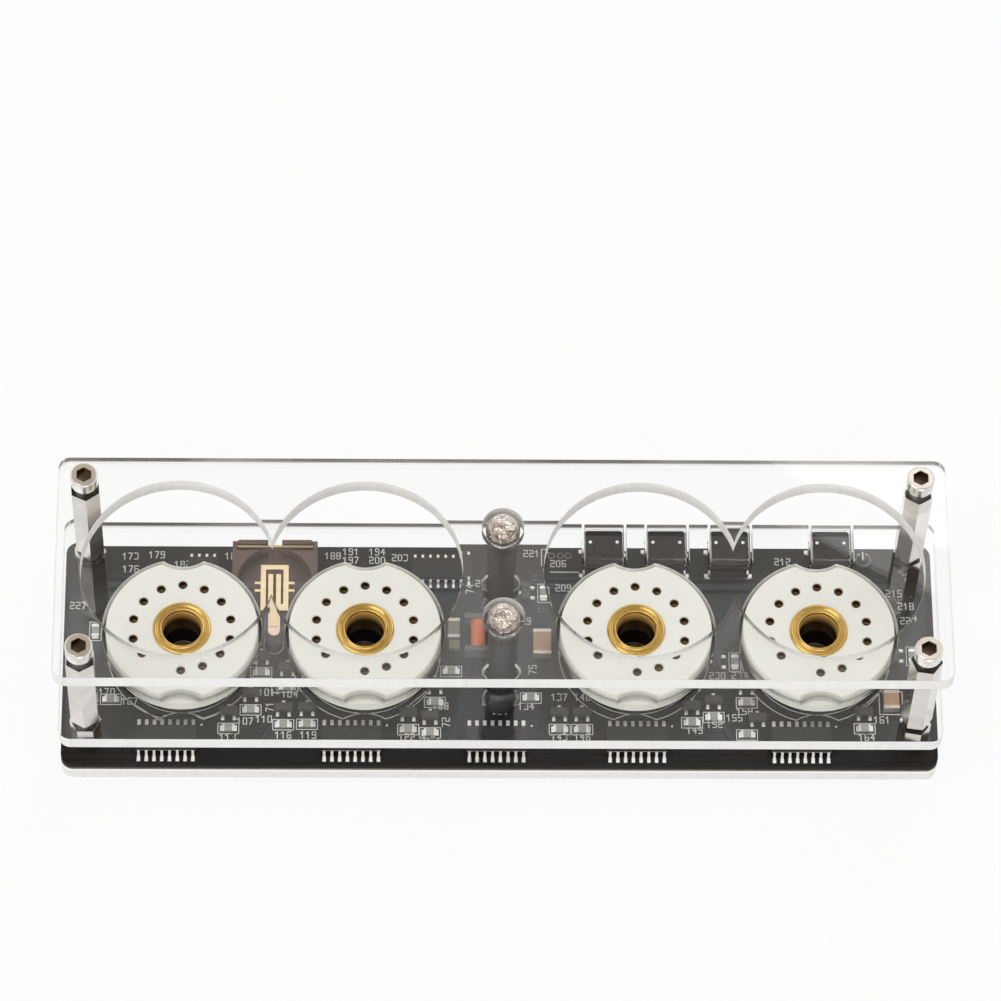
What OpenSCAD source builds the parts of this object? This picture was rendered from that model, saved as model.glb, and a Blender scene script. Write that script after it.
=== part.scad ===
// Four-digit clock body for round-base glass indicator tubes: a circuit board
// between clear sheets, held apart by hexagonal posts at its four corners.
// +Z is up, the front (chip) edge faces -Y, and the origin is the middle of the
// rectangle that the screw-head feet stand on.

/* [Plates and board] */
// Distance from an outer tube's middle to the sheets' side edge
end_margin = 19.75; // [19.25:0.25:30]
// Web left in the middle sheet between a socket's hole and the tongues' roots
tongue_web = 0.15; // [0.15:0.05:3]
// Radius of the sheets' and board's corners
corner_r = 2; // [1:0.5:4]
// Thickness of the middle and top sheets
plate_t = 3; // [2:0.5:5]
// Thickness of the base sheet
base_t = 2; // [1.5:0.5:4]
// Thickness of the circuit board
board_t = 1.6; // [1:0.2:2.4]

/* [Stack] */
// Gap between the base sheet and the board
washer_t = 1; // [1:0.25:4]
// Gap between the board and the middle sheet
lower_gap = 6.5; // [6.5:0.25:12]
// Gap between the middle and top sheets
upper_gap = 19; // [16:0.5:40]

/* [Corner fasteners] */
// Distance from a sheet's side edge to a post's centre
post_inset_x = 4.3; // [3.6:0.1:5]
// Distance from a sheet's front or rear edge to a post's centre
post_inset_y = 4.5; // [3.6:0.1:6]
// Across flats of the hexagonal posts
post_af = 4.5; // [4.25:0.25:5.5]
// Thread diameter of the screws and studs
thread_d = 2.5; // [2:0.5:3]
// Diameter of the screw heads
head_d = 4.5; // [4.2:0.1:5.5]
// Height of the cap-screw heads on top
cap_head_h = 2.5; // [2:0.1:3]
// Height of the low screw heads that the clock stands on
foot_head_h = 1.7; // [1.4:0.1:2.4]
// Across flats of the key sockets in the screw heads
key_af = 2.4; // [1.5:0.1:2.5]
// Outside diameter of the board washers
washer_d = 5; // [4.5:0.1:6]

/* [Tube places] */
// Diameter of the tube holes in the top sheet
tube_hole_d = 31.5; // [31:0.1:33]
// Distance between the two tubes of a pair
pair_pitch = 30; // [29.2:0.1:30.6]
// Distance between the two inner tubes
inner_pitch = 44.5; // [44:0.1:46]

/* [Sockets] */
// Diameter of the socket discs
disc_d = 25; // [24:0.1:25.6]
// Thickness of a socket's lower disc
base_disc_t = 2.2; // [1.8:0.1:2.4]
// Height of a socket's face above the middle sheet
socket_rise = 0.4; // [0:0.1:2]
// Radial gap round a socket in the middle sheet
socket_gap = 0.65; // [0.3:0.05:1]
// Radius of the scallops at the upper disc's front and rear
scallop_r = 6.3; // [5:0.1:8]
// Depth of the scallops
scallop_depth = 1.5; // [1:0.1:2]
// Diameter of the circle of tube-pin holes
pin_circle_d = 16.3; // [15.6:0.1:17]
// Diameter of the tube-pin holes
pin_hole_d = 1.5; // [1.2:0.1:1.7]
// Outside diameter of the pin contacts
contact_d = 1.9; // [1.8:0.1:2.2]
// Diameter of the contacts' solder tails
tail_d = 0.8; // [0.6:0.1:1]
// Flange diameter of the central eyelet
eyelet_flange_d = 9.6; // [9:0.1:10.4]
// Bore diameter of the central eyelet
eyelet_bore_d = 6.4; // [5.8:0.1:6.8]
// Wall thickness of the eyelet
eyelet_wall = 0.45; // [0.3:0.05:0.6]

/* [Colon lamps] */
// Diameter of a lamp's lens
lamp_d = 4.8; // [4:0.1:5]
// Height of a lamp with its flange and dome
lamp_h = 5.3; // [4.6:0.1:8]
// Flange diameter of a lamp
lamp_flange_d = 5.6; // [5.4:0.1:6]
// Diameter of the lamp holes in the top sheet
lamp_hole_d = 6.8; // [6.4:0.1:7.4]
// Diameter of the spacer holes in the middle sheet
lamp_pass_d = 6.2; // [5.4:0.1:6.6]
// Outside diameter of the lamp spacers
lamp_post_d = 4.8; // [4.4:0.1:5]
// Gap between a lamp's flange and the top sheet's underside
lamp_drop = 0.2; // [0.1:0.1:1.5]

/* [Buttons] */
// Distance between the centre lines of a tongue's two cuts
tongue_w = 7; // [6.6:0.1:7.4]
// Width of the cuts beside a tongue
tongue_kerf = 0.4; // [0.3:0.05:0.6]
// Distance from the rear edge to a tongue's bending line
tongue_l = 6.7; // [6:0.1:6.8]
// Side of the square push switches
switch_w = 6; // [5.6:0.1:6.2]
// Height of a push switch's body
switch_h = 3.5; // [3:0.1:4.2]
// Diameter of a switch's plunger
plunger_d = 3.5; // [3:0.1:4]
// Gap between a plunger and its tongue
plunger_gap = 0.15; // [0.12:0.01:0.3]

/* [Coin cell holder] */
// Width of the holder
holder_w = 14.1; // [13.8:0.1:14.4]
// Height of the holder's rim above the board
holder_h = 3.8; // [3.4:0.1:4.2]
// Diameter of the coin cell that it takes
coin_d = 12.5; // [12:0.1:12.8]
// Thickness of the holder's floor
holder_floor = 1; // [0.8:0.1:1.4]
// Thickness of the gold contact strip
strip_t = 0.25; // [0.2:0.05:0.35]

/* [Hidden] */

$fn = 64;
eps = 0.01;

// Running gaps: screws in their holes, threads in their bores, hidden seats
hole_gap = 0.1;
thread_gap = 0.05;
seat_gap = 0.05;
disc_gap = 0.1;

// Sheets and board: as wide as the tubes' row, as deep as a socket between two tongues
plate_w = inner_pitch + 2 * pair_pitch + 2 * end_margin;
disc_hole_d = disc_d + 2 * socket_gap;
plate_d = disc_hole_d + 2 * (tongue_web + tongue_l);

// Heights of the stack, from the desk upwards
base_z = foot_head_h;
board_z = base_z + base_t + washer_t;
board_top = board_z + board_t;
middle_z = board_top + lower_gap;
middle_top = middle_z + plate_t;
top_z = middle_top + upper_gap;
top_face = top_z + plate_t;

// Corner posts
post_x = plate_w / 2 - post_inset_x;
post_y = plate_d / 2 - post_inset_y;
stud_l = plate_t + 3;
screw_grip = 4;
corners = [[-1, -1], [1, -1], [-1, 1], [1, 1]];
lower_turn = [30, 20, 30, 0];
upper_turn = [0, 22, 5, 0];

// Tube and socket places, left to right
tube_x = [-inner_pitch / 2 - pair_pitch, -inner_pitch / 2,
    inner_pitch / 2, inner_pitch / 2 + pair_pitch];
socket_top = middle_top + socket_rise;
cap_z = middle_z - disc_gap;
cap_t = socket_top - cap_z;
base_disc_z = cap_z - base_disc_t;
scallop_y = disc_d / 2 - scallop_depth + scallop_r;
pin_positions = 14;
missing_pin = 8;
eyelet_d = eyelet_bore_d + 2 * eyelet_wall;
eyelet_lip = 0.25;

// Colon lamps, at the rear and front of the middle line
lamp_y = [7.6, -8.7];
lamp_flange_t = 0.8;
lamp_lead_d = 0.5;
lamp_lead_pitch = 2.54;
lamp_z = top_z - lamp_drop - lamp_flange_t;
lamp_post_bore = 3.6;

// Buttons along the rear edge
button_x = [17.3, 27.7, 38.2, 55];
tongue_y = plate_d / 2 - tongue_l;
tongue_root_gap = 0.12;
switch_y = plate_d / 2 - switch_w / 2 - 0.1;
plunger_top = middle_z - plunger_gap;
switch_leg_t = 0.3;
switch_leg_pitch = 4.5;
switch_well = 1.8;
switch_mouth = 1;

// Coin cell holder, between the two left sockets at the rear edge
holder_x = (tube_x[0] + tube_x[1]) / 2;
holder_rear = plate_d / 2 - 1;
holder_lip = 1.3;
holder_lip_h = 0.5;
coin_y = holder_rear - holder_lip - coin_d / 2;
holder_wall = 0.7;
nose_r = 1.6;
nose_l = 2.4;
nose_y = coin_y - coin_d / 2 - holder_wall - nose_l - nose_r;
holder_gap = 2.3;
lip_l = 5;
lip_t = 0.6;
tongue_slot = 2.6;
bar_l = holder_w - 1.4;
bar_y = holder_rear - holder_lip + 0.2;

// Chips: lead pitch, body and row sizes of the two small-outline packages
lead_pitch = 1.27;
chip_w = 3.9;
chip_row = 6.2;
chip_h = 1.45;
chip_lift = 0.15;
chip_y = plate_d / 2 - 4.6;
driver_y = 4.2 - plate_d / 2;
driver_x = [-54.8, -24.4, -0.6, 22.5, 49.5];
control_x = -9.5;
clock_x = -49.3;

// Inductor between the two inner sockets
inductor_at = [-3.6, 2.2];
ind_w = 4.4;
ind_l = 6.9;
ind_h = 2.8;
ind_flange = 0.9;

// Driver transistors, each with a resistor before its two feet: place, turn, resistor's shift
stage_at = [[-44.6, -10.9, 0, 0], [-41, -7.5, 0, 0], [-35.6, -10.2, 0, 0], [-31.7, -10.1, 0, 0],
    [-15.1, -11, 0, 0], [-11.5, -11.6, 0, 0], [-10.7, -6, 0, 0], [9.8, -10.9, 0, 0],
    [13.5, -10.9, 0, 0], [31.6, -9.6, 0, 0], [35.2, -8.6, 0, 0], [40.7, -5.9, 0, 0],
    [42.4, -11.8, 0, -1.8], [60, -10.6, 0, 0],
    [holder_x - 2.05, nose_y - 1.7, 0, 0], [holder_x + 2.25, nose_y - 3.8, 0, 0],
    [35.9, -1.9, 90, 0], [4.4, 10.8, 90, 0], [65.3, -0.7, 90, 0]];
stage_pitch = 2.95;
sot_l = 2.9;
sot_w = 1.3;
sot_h = 0.95;
sot_span = 2.4;
foot_pitch = 1.9;

// Loose resistors: place and turn
resistor_at = [[5.1, -8.1, 0], [-66.8, 3.4, 90], [-64, -8.6, 0], [-8, -3.8, 0]];
res_l = 2;
res_w = 1.25;
res_h = 0.5;

// Ceramic capacitors: place, width, length, height
small_cap_at = [[-7.6, 3.7, 2, 3.6, 1.3], [-7.5, 0.85, 1.8, 1.6, 0.9]];
large_cap_at = [[7, 1, 3, 4.6, 1.8], [64.5, -8.8, 2.6, 3.4, 1.6]];

/* ---- shapes that repeat ---- */

// A rectangle with round corners, centred on the origin
module rounded_outline(w, d, r) {
    square([w - 2 * r, d], center = true);
    square([w, d - 2 * r], center = true);
    for (c = corners) translate([c[0] * (w / 2 - r), c[1] * (d / 2 - r)]) circle(r);
}

module sheet_outline() {
    rounded_outline(plate_w, plate_d, corner_r);
}

module at_corner(i, z) {
    translate([corners[i][0] * post_x, corners[i][1] * post_y, z]) children();
}

module at_corners(z) {
    for (i = [0 : 3]) at_corner(i, z) children();
}

module post_holes_2d(d) {
    for (c = corners) translate([c[0] * post_x, c[1] * post_y]) circle(d / 2);
}

// A six-sided bar with two flats facing left and right
module hex_bar(af, h) {
    rotate([0, 0, 30]) cylinder(d = af / cos(30), h = h, $fn = 6);
}

// A screw head with a chamfered rim, its seat at z = 0 and its face upwards
module screw_head(h) {
    rim = 0.25;
    difference() {
        rotate_extrude() polygon([[0, 0], [head_d / 2, 0], [head_d / 2, h - rim],
            [head_d / 2 - rim, h], [0, h]]);
        translate([0, 0, h * 0.45]) hex_bar(key_af, h);
    }
}

module screw(h, shank) {
    screw_head(h);
    translate([0, 0, -shank]) cylinder(d = thread_d, h = shank + eps);
}

/* ---- sheets, board and corner fasteners ---- */

module base_plate() {
    color([0.86, 0.9, 0.9, 0.6]) translate([0, 0, base_z]) linear_extrude(base_t) difference() {
        sheet_outline();
        post_holes_2d(thread_d + 2 * hole_gap);
    }
}

module base_screws() {
    grip = base_t + washer_t + board_t + screw_grip;
    color("silver") at_corners(base_z) mirror([0, 0, 1]) screw(foot_head_h, grip);
}

module board_washers() {
    color([0.9, 0.9, 0.88]) at_corners(base_z + base_t) difference() {
        cylinder(d = washer_d, h = washer_t);
        translate([0, 0, -1]) cylinder(d = thread_d + 2 * hole_gap, h = washer_t + 2);
    }
}

module main_board() {
    color([0.12, 0.12, 0.12]) translate([0, 0, board_z]) linear_extrude(board_t) difference() {
        sheet_outline();
        post_holes_2d(thread_d + 2 * hole_gap);
        for (x = tube_x) translate([x, 0]) pin_places() circle(tail_d / 2 + hole_gap, $fn = 24);
        for (y = lamp_y, s = [-1, 1]) translate([s * lamp_lead_pitch / 2, y])
            circle(lamp_lead_d / 2 + hole_gap, $fn = 24);
    }
}

module lower_standoffs() {
    bore_l = screw_grip + 0.6;
    color([0.1, 0.1, 0.1]) for (i = [0 : 3]) at_corner(i, board_top) difference() {
        union() {
            rotate([0, 0, lower_turn[i]]) hex_bar(post_af, lower_gap);
            cylinder(d = thread_d, h = lower_gap + stud_l);
        }
        translate([0, 0, -1]) cylinder(d = thread_d + 2 * thread_gap, h = bore_l + 1);
    }
}

module upper_standoffs() {
    bore_r = thread_d / 2 + thread_gap;
    color([0.72, 0.7, 0.66]) for (i = [0 : 3]) at_corner(i, middle_top) difference() {
        rotate([0, 0, upper_turn[i]]) hex_bar(post_af, upper_gap);
        translate([0, 0, -1]) cylinder(r = bore_r, h = stud_l - plate_t + 1.6);
        translate([0, 0, upper_gap - screw_grip - 0.6]) cylinder(r = bore_r, h = screw_grip + 2);
    }
}

module cap_screws() {
    color("silver") at_corners(top_face) screw(cap_head_h, plate_t + screw_grip);
}

// The room that a tongue and the cuts beside it take, open at the rear edge
module tongue_cut_2d() {
    translate([-tongue_w / 2 - tongue_kerf / 2, tongue_y])
        square([tongue_w + tongue_kerf, tongue_l + 1]);
}

// A socket's hole, with two tabs that stand in the scallops and keep it from turning
module socket_hole_2d() {
    difference() {
        circle(disc_hole_d / 2, $fn = 96);
        for (s = [-1, 1]) translate([0, s * scallop_y]) circle(scallop_r - socket_gap);
    }
}

module middle_plate() {
    color([0.86, 0.9, 0.9, 0.6]) translate([0, 0, middle_z]) linear_extrude(plate_t) difference() {
        sheet_outline();
        post_holes_2d(thread_d + 2 * hole_gap);
        for (x = tube_x) translate([x, 0]) socket_hole_2d();
        for (y = lamp_y) translate([0, y]) circle(lamp_pass_d / 2);
        for (x = button_x) translate([x, 0]) tongue_cut_2d();
    }
}

module top_plate() {
    color([0.86, 0.9, 0.9, 0.6]) translate([0, 0, top_z]) linear_extrude(plate_t) difference() {
        sheet_outline();
        post_holes_2d(thread_d + 2 * hole_gap);
        for (x = tube_x) translate([x, 0]) circle(tube_hole_d / 2, $fn = 96);
        for (y = lamp_y) translate([0, y]) circle(lamp_hole_d / 2);
    }
}

/* ---- buttons ---- */

module button_tongue(n) {
    half = (tongue_w - tongue_kerf) / 2;
    color([0.86, 0.9, 0.9, 0.6]) translate([button_x[n] - half, tongue_y + tongue_root_gap, middle_z])
        cube([2 * half, tongue_l - tongue_root_gap, plate_t]);
}

module button_plunger(n) {
    foot_h = 0.8;
    foot_z = board_top + switch_h - switch_well + 0.6;
    color([0.1, 0.1, 0.1]) translate([button_x[n], switch_y, 0]) rotate_extrude() polygon([
        [0, foot_z], [plunger_d / 2 + 0.5, foot_z], [plunger_d / 2 + 0.5, foot_z + foot_h - 0.4],
        [plunger_d / 2, foot_z + foot_h - 0.4], [plunger_d / 2, plunger_top - 0.2],
        [plunger_d / 2 - 0.2, plunger_top], [0, plunger_top]]);
}

// Square bodies with a well for the plunger and a rivet near each corner
module switch_bodies() {
    rivet_at = 2.15;
    lid_t = 0.5;
    well_z = switch_h - switch_well;
    color([0.16, 0.16, 0.16]) for (x = button_x) translate([x, switch_y, board_top]) {
        difference() {
            linear_extrude(switch_h) rounded_outline(switch_w, switch_w, 0.4);
            translate([0, 0, switch_h - switch_mouth])
                cylinder(d = plunger_d + 0.2, h = 2 * switch_mouth);
            translate([0, 0, well_z]) cylinder(d = plunger_d + 1.4, h = switch_well - lid_t);
        }
        for (c = corners) translate([c[0] * rivet_at, c[1] * rivet_at, switch_h])
            cylinder(d = 0.9, h = 0.15, $fn = 24);
    }
}

// Two legs on each side, flat against the body and turned out on the board
module switch_legs() {
    leg_w = 0.7;
    leg_h = 1.6;
    foot_l = 0.9;
    color("silver") for (x = button_x, s = [-1, 1], y = [-0.5, 0.5] * switch_leg_pitch)
        translate([x + s * (switch_w / 2 + seat_gap), switch_y + y - leg_w / 2, board_top])
            mirror([s < 0 ? 1 : 0, 0, 0]) rotate([90, 0, 0]) mirror([0, 0, 1])
                linear_extrude(leg_w) polygon([[0, 0], [foot_l, 0], [foot_l, switch_leg_t],
                    [switch_leg_t, switch_leg_t], [switch_leg_t, leg_h], [0, leg_h]]);
}

/* ---- tube sockets ---- */

// The thirteen pin places on their fourteen-part circle, counted clockwise from the rear
module pin_places() {
    for (i = [0 : pin_positions - 1]) if (i != missing_pin)
        rotate([0, 0, 90 - i * 360 / pin_positions]) translate([pin_circle_d / 2, 0]) children();
}

module socket_cap(n) {
    color([0.93, 0.92, 0.89]) translate([tube_x[n], 0, cap_z]) linear_extrude(cap_t) difference() {
        circle(disc_d / 2, $fn = 96);
        circle(eyelet_d / 2 + seat_gap);
        for (s = [-1, 1]) translate([0, s * scallop_y]) circle(scallop_r);
        pin_places() circle(pin_hole_d / 2, $fn = 24);
    }
}

module socket_base(n) {
    color([0.93, 0.92, 0.89]) translate([tube_x[n], 0, base_disc_z])
        linear_extrude(base_disc_t) difference() {
            circle(disc_d / 2, $fn = 96);
            circle(eyelet_d / 2 + seat_gap);
            pin_places() circle(contact_d / 2 + seat_gap, $fn = 24);
        }
}

// A rolled brass tube with a stepped flange above and a turned lip below
module socket_eyelet(n) {
    top = cap_t;
    low = -base_disc_t;
    r0 = eyelet_bore_d / 2;
    r1 = eyelet_d / 2;
    rf = eyelet_flange_d / 2;
    step = 0.5;
    color([0.83, 0.66, 0.3]) translate([tube_x[n], 0, cap_z]) rotate_extrude() polygon([
        [r0, low - eyelet_lip], [r1 + 0.6, low - eyelet_lip], [r1 + 0.6, low], [r1, low],
        [r1, top], [rf, top], [rf, top + 0.15], [rf - 0.2, top + 0.35], [r1 + step, top + 0.35],
        [r1 + step - 0.15, top + 0.2], [r0 + 0.45, top + 0.2], [r0 + 0.3, top + 0.45],
        [r0 + 0.1, top + 0.45], [r0, top + 0.3]]);
}

// Tubular contacts in the lower disc, each with a tail through the board
module socket_contacts(n) {
    bore_d = contact_d - 0.7;
    tail_below = 0.6;
    body_z = base_disc_z + 0.1;
    body_h = base_disc_t - 0.2;
    shoulder_h = 0.7;
    tail_h = body_z - shoulder_h - board_z + tail_below;
    color([0.8, 0.62, 0.3]) translate([tube_x[n], 0, 0]) pin_places() {
        difference() {
            translate([0, 0, body_z - shoulder_h])
                cylinder(d = contact_d, h = body_h + shoulder_h, $fn = 24);
            translate([0, 0, body_z]) cylinder(d = bore_d, h = body_h + 1, $fn = 24);
        }
        translate([0, 0, board_z - tail_below]) cylinder(d = tail_d, h = tail_h + eps, $fn = 24);
    }
}

/* ---- colon lamps ---- */

module lamp(k) {
    r = lamp_d / 2;
    dome_z = lamp_h - r * 0.8;
    color([0.9, 0.93, 0.95, 0.5]) translate([0, lamp_y[k], lamp_z]) {
        cylinder(d = lamp_flange_d, h = lamp_flange_t);
        cylinder(r = r, h = dome_z);
        translate([0, 0, dome_z]) intersection() {
            translate([0, 0, -0.2 * r]) sphere(r);
            cylinder(r = r, h = r);
        }
    }
}

module lamp_spacer(k) {
    h = lamp_z - board_top;
    color([0.1, 0.1, 0.1]) translate([0, lamp_y[k], board_top]) difference() {
        cylinder(d = lamp_post_d, h = h);
        translate([0, 0, -1]) cylinder(d = lamp_post_bore, h = h + 2);
    }
}

module lamp_leads() {
    below = 0.6;
    color("silver") for (y = lamp_y, s = [-1, 1])
        translate([s * lamp_lead_pitch / 2, y, board_z - below])
            cylinder(d = lamp_lead_d, h = lamp_z - board_z + below, $fn = 24);
}

/* ---- coin cell holder ---- */

// The holder's outline: straight rear and sides, a round front and a short nose
module holder_outline() {
    front_y = nose_y + nose_r + nose_l;
    translate([-holder_w / 2, coin_y - coin_d / 4])
        square([holder_w, holder_rear - coin_y + coin_d / 4]);
    translate([0, coin_y]) circle(coin_d / 2 + holder_wall);
    translate([-nose_r, nose_y + nose_r]) square([2 * nose_r, nose_l + 1]);
    translate([0, nose_y + nose_r]) circle(nose_r);
}

module battery_holder() {
    bed_r = coin_d / 2;
    color([0.26, 0.22, 0.2]) translate([holder_x, 0, board_top]) {
        difference() {
            linear_extrude(holder_h) holder_outline();
            translate([0, coin_y, holder_floor]) cylinder(r = bed_r, h = holder_h);
            translate([-tongue_slot / 2, -4, holder_floor]) cube([tongue_slot, coin_y, holder_h]);
            translate([-bar_l / 2, bar_y - 0.6, holder_h - 1.2]) cube([bar_l, 1.3, 2]);
            translate([-holder_gap / 2, holder_rear - holder_lip - 0.8, holder_floor])
                cube([holder_gap, holder_lip + 2, holder_h]);
        }
        for (s = [-1, 1]) translate([s * (holder_gap / 2 + lip_l / 2),
            holder_rear - lip_t / 2, holder_h - eps])
            linear_extrude(holder_lip_h + eps) rounded_outline(lip_l, lip_t, 0.2);
    }
}

// The upper contact: a window frame with two sprung fingers, ears and a solder tab
module battery_contact() {
    frame_w = 4.6;
    rail = 0.85;
    rear_y = coin_y + 2.9;
    front_y = coin_y - 4.4;
    finger_w = 0.8;
    ear_l = 1;
    tab_w = 1.4;
    tab_y = coin_y - coin_d / 2 - 2.6;
    z = board_top + holder_h + 0.1;
    color([0.86, 0.74, 0.45]) translate([holder_x, 0, 0]) {
        translate([0, 0, z]) linear_extrude(strip_t) {
            translate([-frame_w / 2, rear_y - rail]) square([frame_w, rail]);
            for (s = [-1, 1]) {
                translate([s * (frame_w - rail) / 2 - rail / 2, front_y])
                    square([rail, rear_y - front_y - rail + eps]);
                translate([s * 0.65 - finger_w / 2, front_y - eps])
                    square([finger_w, rear_y - front_y - 2 * rail]);
                for (y = [coin_y - 0.7, coin_y - 2.1])
                    translate([s * frame_w / 2 + (s < 0 ? -ear_l : -eps), y])
                        square([ear_l + eps, 0.45]);
            }
            translate([-frame_w / 2, front_y - 1.2]) square([frame_w, 1.2 + eps]);
            translate([-tab_w / 2, tab_y]) square([tab_w, front_y - 1.2 - tab_y + eps]);
        }
        translate([-tab_w / 2, tab_y - strip_t + eps, board_top + holder_floor + seat_gap])
            cube([tab_w, strip_t, z + strip_t - board_top - holder_floor - seat_gap]);
    }
}

// The lower contact: a flat bar across the rear of the coin bed
module battery_spring() {
    color([0.8, 0.65, 0.35]) translate([holder_x - bar_l / 2 + 0.1, bar_y,
        board_top + holder_h - 1.15]) cube([bar_l - 0.2, 0.4, 1.1]);
}

/* ---- parts on the board ---- */

// One gull-wing lead, from the body's side down to its pad
module gull_lead() {
    w = 0.42;
    t = 0.2;
    reach = (chip_row - chip_w) / 2;
    z = chip_lift + chip_h / 2;
    translate([w / 2, 0, 0]) rotate([90, 0, -90]) linear_extrude(w) polygon([
        [-reach, 0], [-reach * 0.42, 0], [-reach * 0.25, z - t / 2], [0, z - t / 2],
        [0, z + t / 2], [-reach * 0.38, z + t / 2], [-reach * 0.55, t], [-reach, t]]);
}

// A small-outline chip centred on the origin, pin 1 at its right end of the rear row
module chip(pins) {
    body_l = pins / 2 * lead_pitch - 0.3;
    draft = 0.15;
    translate([-body_l / 2, 0, chip_lift]) rotate([90, 0, 90]) linear_extrude(body_l)
        polygon([[-chip_w / 2 + draft, 0], [chip_w / 2 - draft, 0], [chip_w / 2, chip_h / 2],
            [chip_w / 2 - draft, chip_h], [-chip_w / 2 + draft, chip_h], [-chip_w / 2, chip_h / 2]]);
    for (i = [0 : pins / 2 - 1], s = [0, 1]) mirror([0, s, 0])
        translate([(i - (pins / 2 - 1) / 2) * lead_pitch, chip_w / 2, 0]) gull_lead();
}

module driver_chip(n) {
    color([0.15, 0.15, 0.16]) translate([driver_x[n], driver_y, board_top]) chip(16);
}

module control_chip() {
    color([0.15, 0.15, 0.16]) translate([control_x, chip_y, board_top]) chip(16);
}

module clock_chip() {
    color([0.15, 0.15, 0.16]) translate([clock_x, chip_y, board_top]) chip(8);
}

// A three-lead transistor: a small block with two feet in front and one behind
module small_transistor() {
    foot_w = 0.4;
    foot_l = (sot_span - sot_w) / 2 + 0.05;
    lift = 0.1;
    translate([-sot_l / 2, -sot_w / 2, lift]) cube([sot_l, sot_w, sot_h]);
    for (f = [[-foot_pitch / 2, -sot_span / 2], [foot_pitch / 2, -sot_span / 2],
        [0, sot_span / 2 - foot_l]])
        translate([f[0] - foot_w / 2, f[1], 0]) cube([foot_w, foot_l, 0.25]);
}

module small_resistor() {
    translate([-res_l / 2, -res_w / 2, 0]) cube([res_l, res_w, res_h]);
}

module transistors() {
    color([0.18, 0.18, 0.18]) for (p = stage_at)
        translate([p[0], p[1], board_top]) rotate([0, 0, p[2]]) small_transistor();
}

module resistors() {
    color([0.2, 0.2, 0.2]) {
        for (p = stage_at) translate([p[0], p[1], board_top]) rotate([0, 0, p[2]])
            translate([p[3], -stage_pitch, 0]) small_resistor();
        for (p = resistor_at) translate([p[0], p[1], board_top]) rotate([0, 0, p[2]])
            small_resistor();
    }
}

// A block capacitor with a tinned band over each end
module block_capacitor(w, l, h) {
    band = 0.6;
    translate([-w / 2 + 0.05, -l / 2 + 0.05, 0.05]) cube([w - 0.1, l - 0.1, h - 0.1]);
    for (y = [-l / 2, l / 2 - band]) translate([-w / 2, y, 0]) cube([w, band, h]);
}

module small_capacitors() {
    color([0.45, 0.42, 0.33]) for (c = small_cap_at)
        translate([c[0], c[1], board_top]) block_capacitor(c[2], c[3], c[4]);
}

module large_capacitors() {
    color([0.75, 0.56, 0.4]) for (c = large_cap_at)
        translate([c[0], c[1], board_top]) block_capacitor(c[2], c[3], c[4]);
}

// The inductor: a ferrite frame with a winding lying between its two cheeks
module inductor_core() {
    axle_d = 1.2;
    color([0.32, 0.32, 0.34]) translate([inductor_at[0], inductor_at[1], board_top]) {
        for (s = [-1, 1]) translate([-ind_w / 2, s * (ind_l - ind_flange) / 2 - ind_flange / 2, 0])
            cube([ind_w, ind_flange, ind_h]);
        translate([0, ind_l / 2 - eps, ind_h / 2]) rotate([90, 0, 0])
            cylinder(d = axle_d, h = ind_l - 2 * eps);
    }
}

module inductor_winding() {
    l = ind_l - 2 * ind_flange - 2 * seat_gap;
    color([0.85, 0.42, 0.28]) translate([inductor_at[0], inductor_at[1] + l / 2,
        board_top + ind_h / 2]) rotate([90, 0, 0]) difference() {
            cylinder(d = ind_h - 0.3, h = l);
            translate([0, 0, -1]) cylinder(d = 1.2 + 2 * seat_gap, h = l + 2);
        }
}

base_plate();
base_screws();
board_washers();
main_board();
lower_standoffs();
middle_plate();
upper_standoffs();
top_plate();
cap_screws();
button_tongue(0);  // button_tongue_1
button_tongue(1);  // button_tongue_2
button_tongue(2);  // button_tongue_3
button_tongue(3);  // button_tongue_4
button_plunger(0);  // button_plunger_1
button_plunger(1);  // button_plunger_2
button_plunger(2);  // button_plunger_3
button_plunger(3);  // button_plunger_4
switch_bodies();
switch_legs();
socket_cap(0);  // socket_cap_1
socket_cap(1);  // socket_cap_2
socket_cap(2);  // socket_cap_3
socket_cap(3);  // socket_cap_4
socket_base(0);  // socket_base_1
socket_base(1);  // socket_base_2
socket_base(2);  // socket_base_3
socket_base(3);  // socket_base_4
socket_eyelet(0);  // socket_eyelet_1
socket_eyelet(1);  // socket_eyelet_2
socket_eyelet(2);  // socket_eyelet_3
socket_eyelet(3);  // socket_eyelet_4
socket_contacts(0);  // socket_contacts_1
socket_contacts(1);  // socket_contacts_2
socket_contacts(2);  // socket_contacts_3
socket_contacts(3);  // socket_contacts_4
lamp(0);  // lamp_rear
lamp(1);  // lamp_front
lamp_spacer(0);  // lamp_spacer_rear
lamp_spacer(1);  // lamp_spacer_front
lamp_leads();
battery_holder();
battery_contact();
battery_spring();
driver_chip(0);  // driver_chip_1
driver_chip(1);  // driver_chip_2
driver_chip(2);  // driver_chip_3
driver_chip(3);  // driver_chip_4
driver_chip(4);  // driver_chip_5
control_chip();
clock_chip();
transistors();
resistors();
small_capacitors();
large_capacitors();
inductor_core();
inductor_winding();
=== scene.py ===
"""Looks of a four-tube nixie clock base: clear sheets on hex posts over a dark circuit board."""

from __future__ import annotations

import logging
import math
from dataclasses import dataclass
from enum import Enum
from typing import Iterable, Sequence

import bmesh
import bpy
from mathutils import Matrix, Vector

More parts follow.
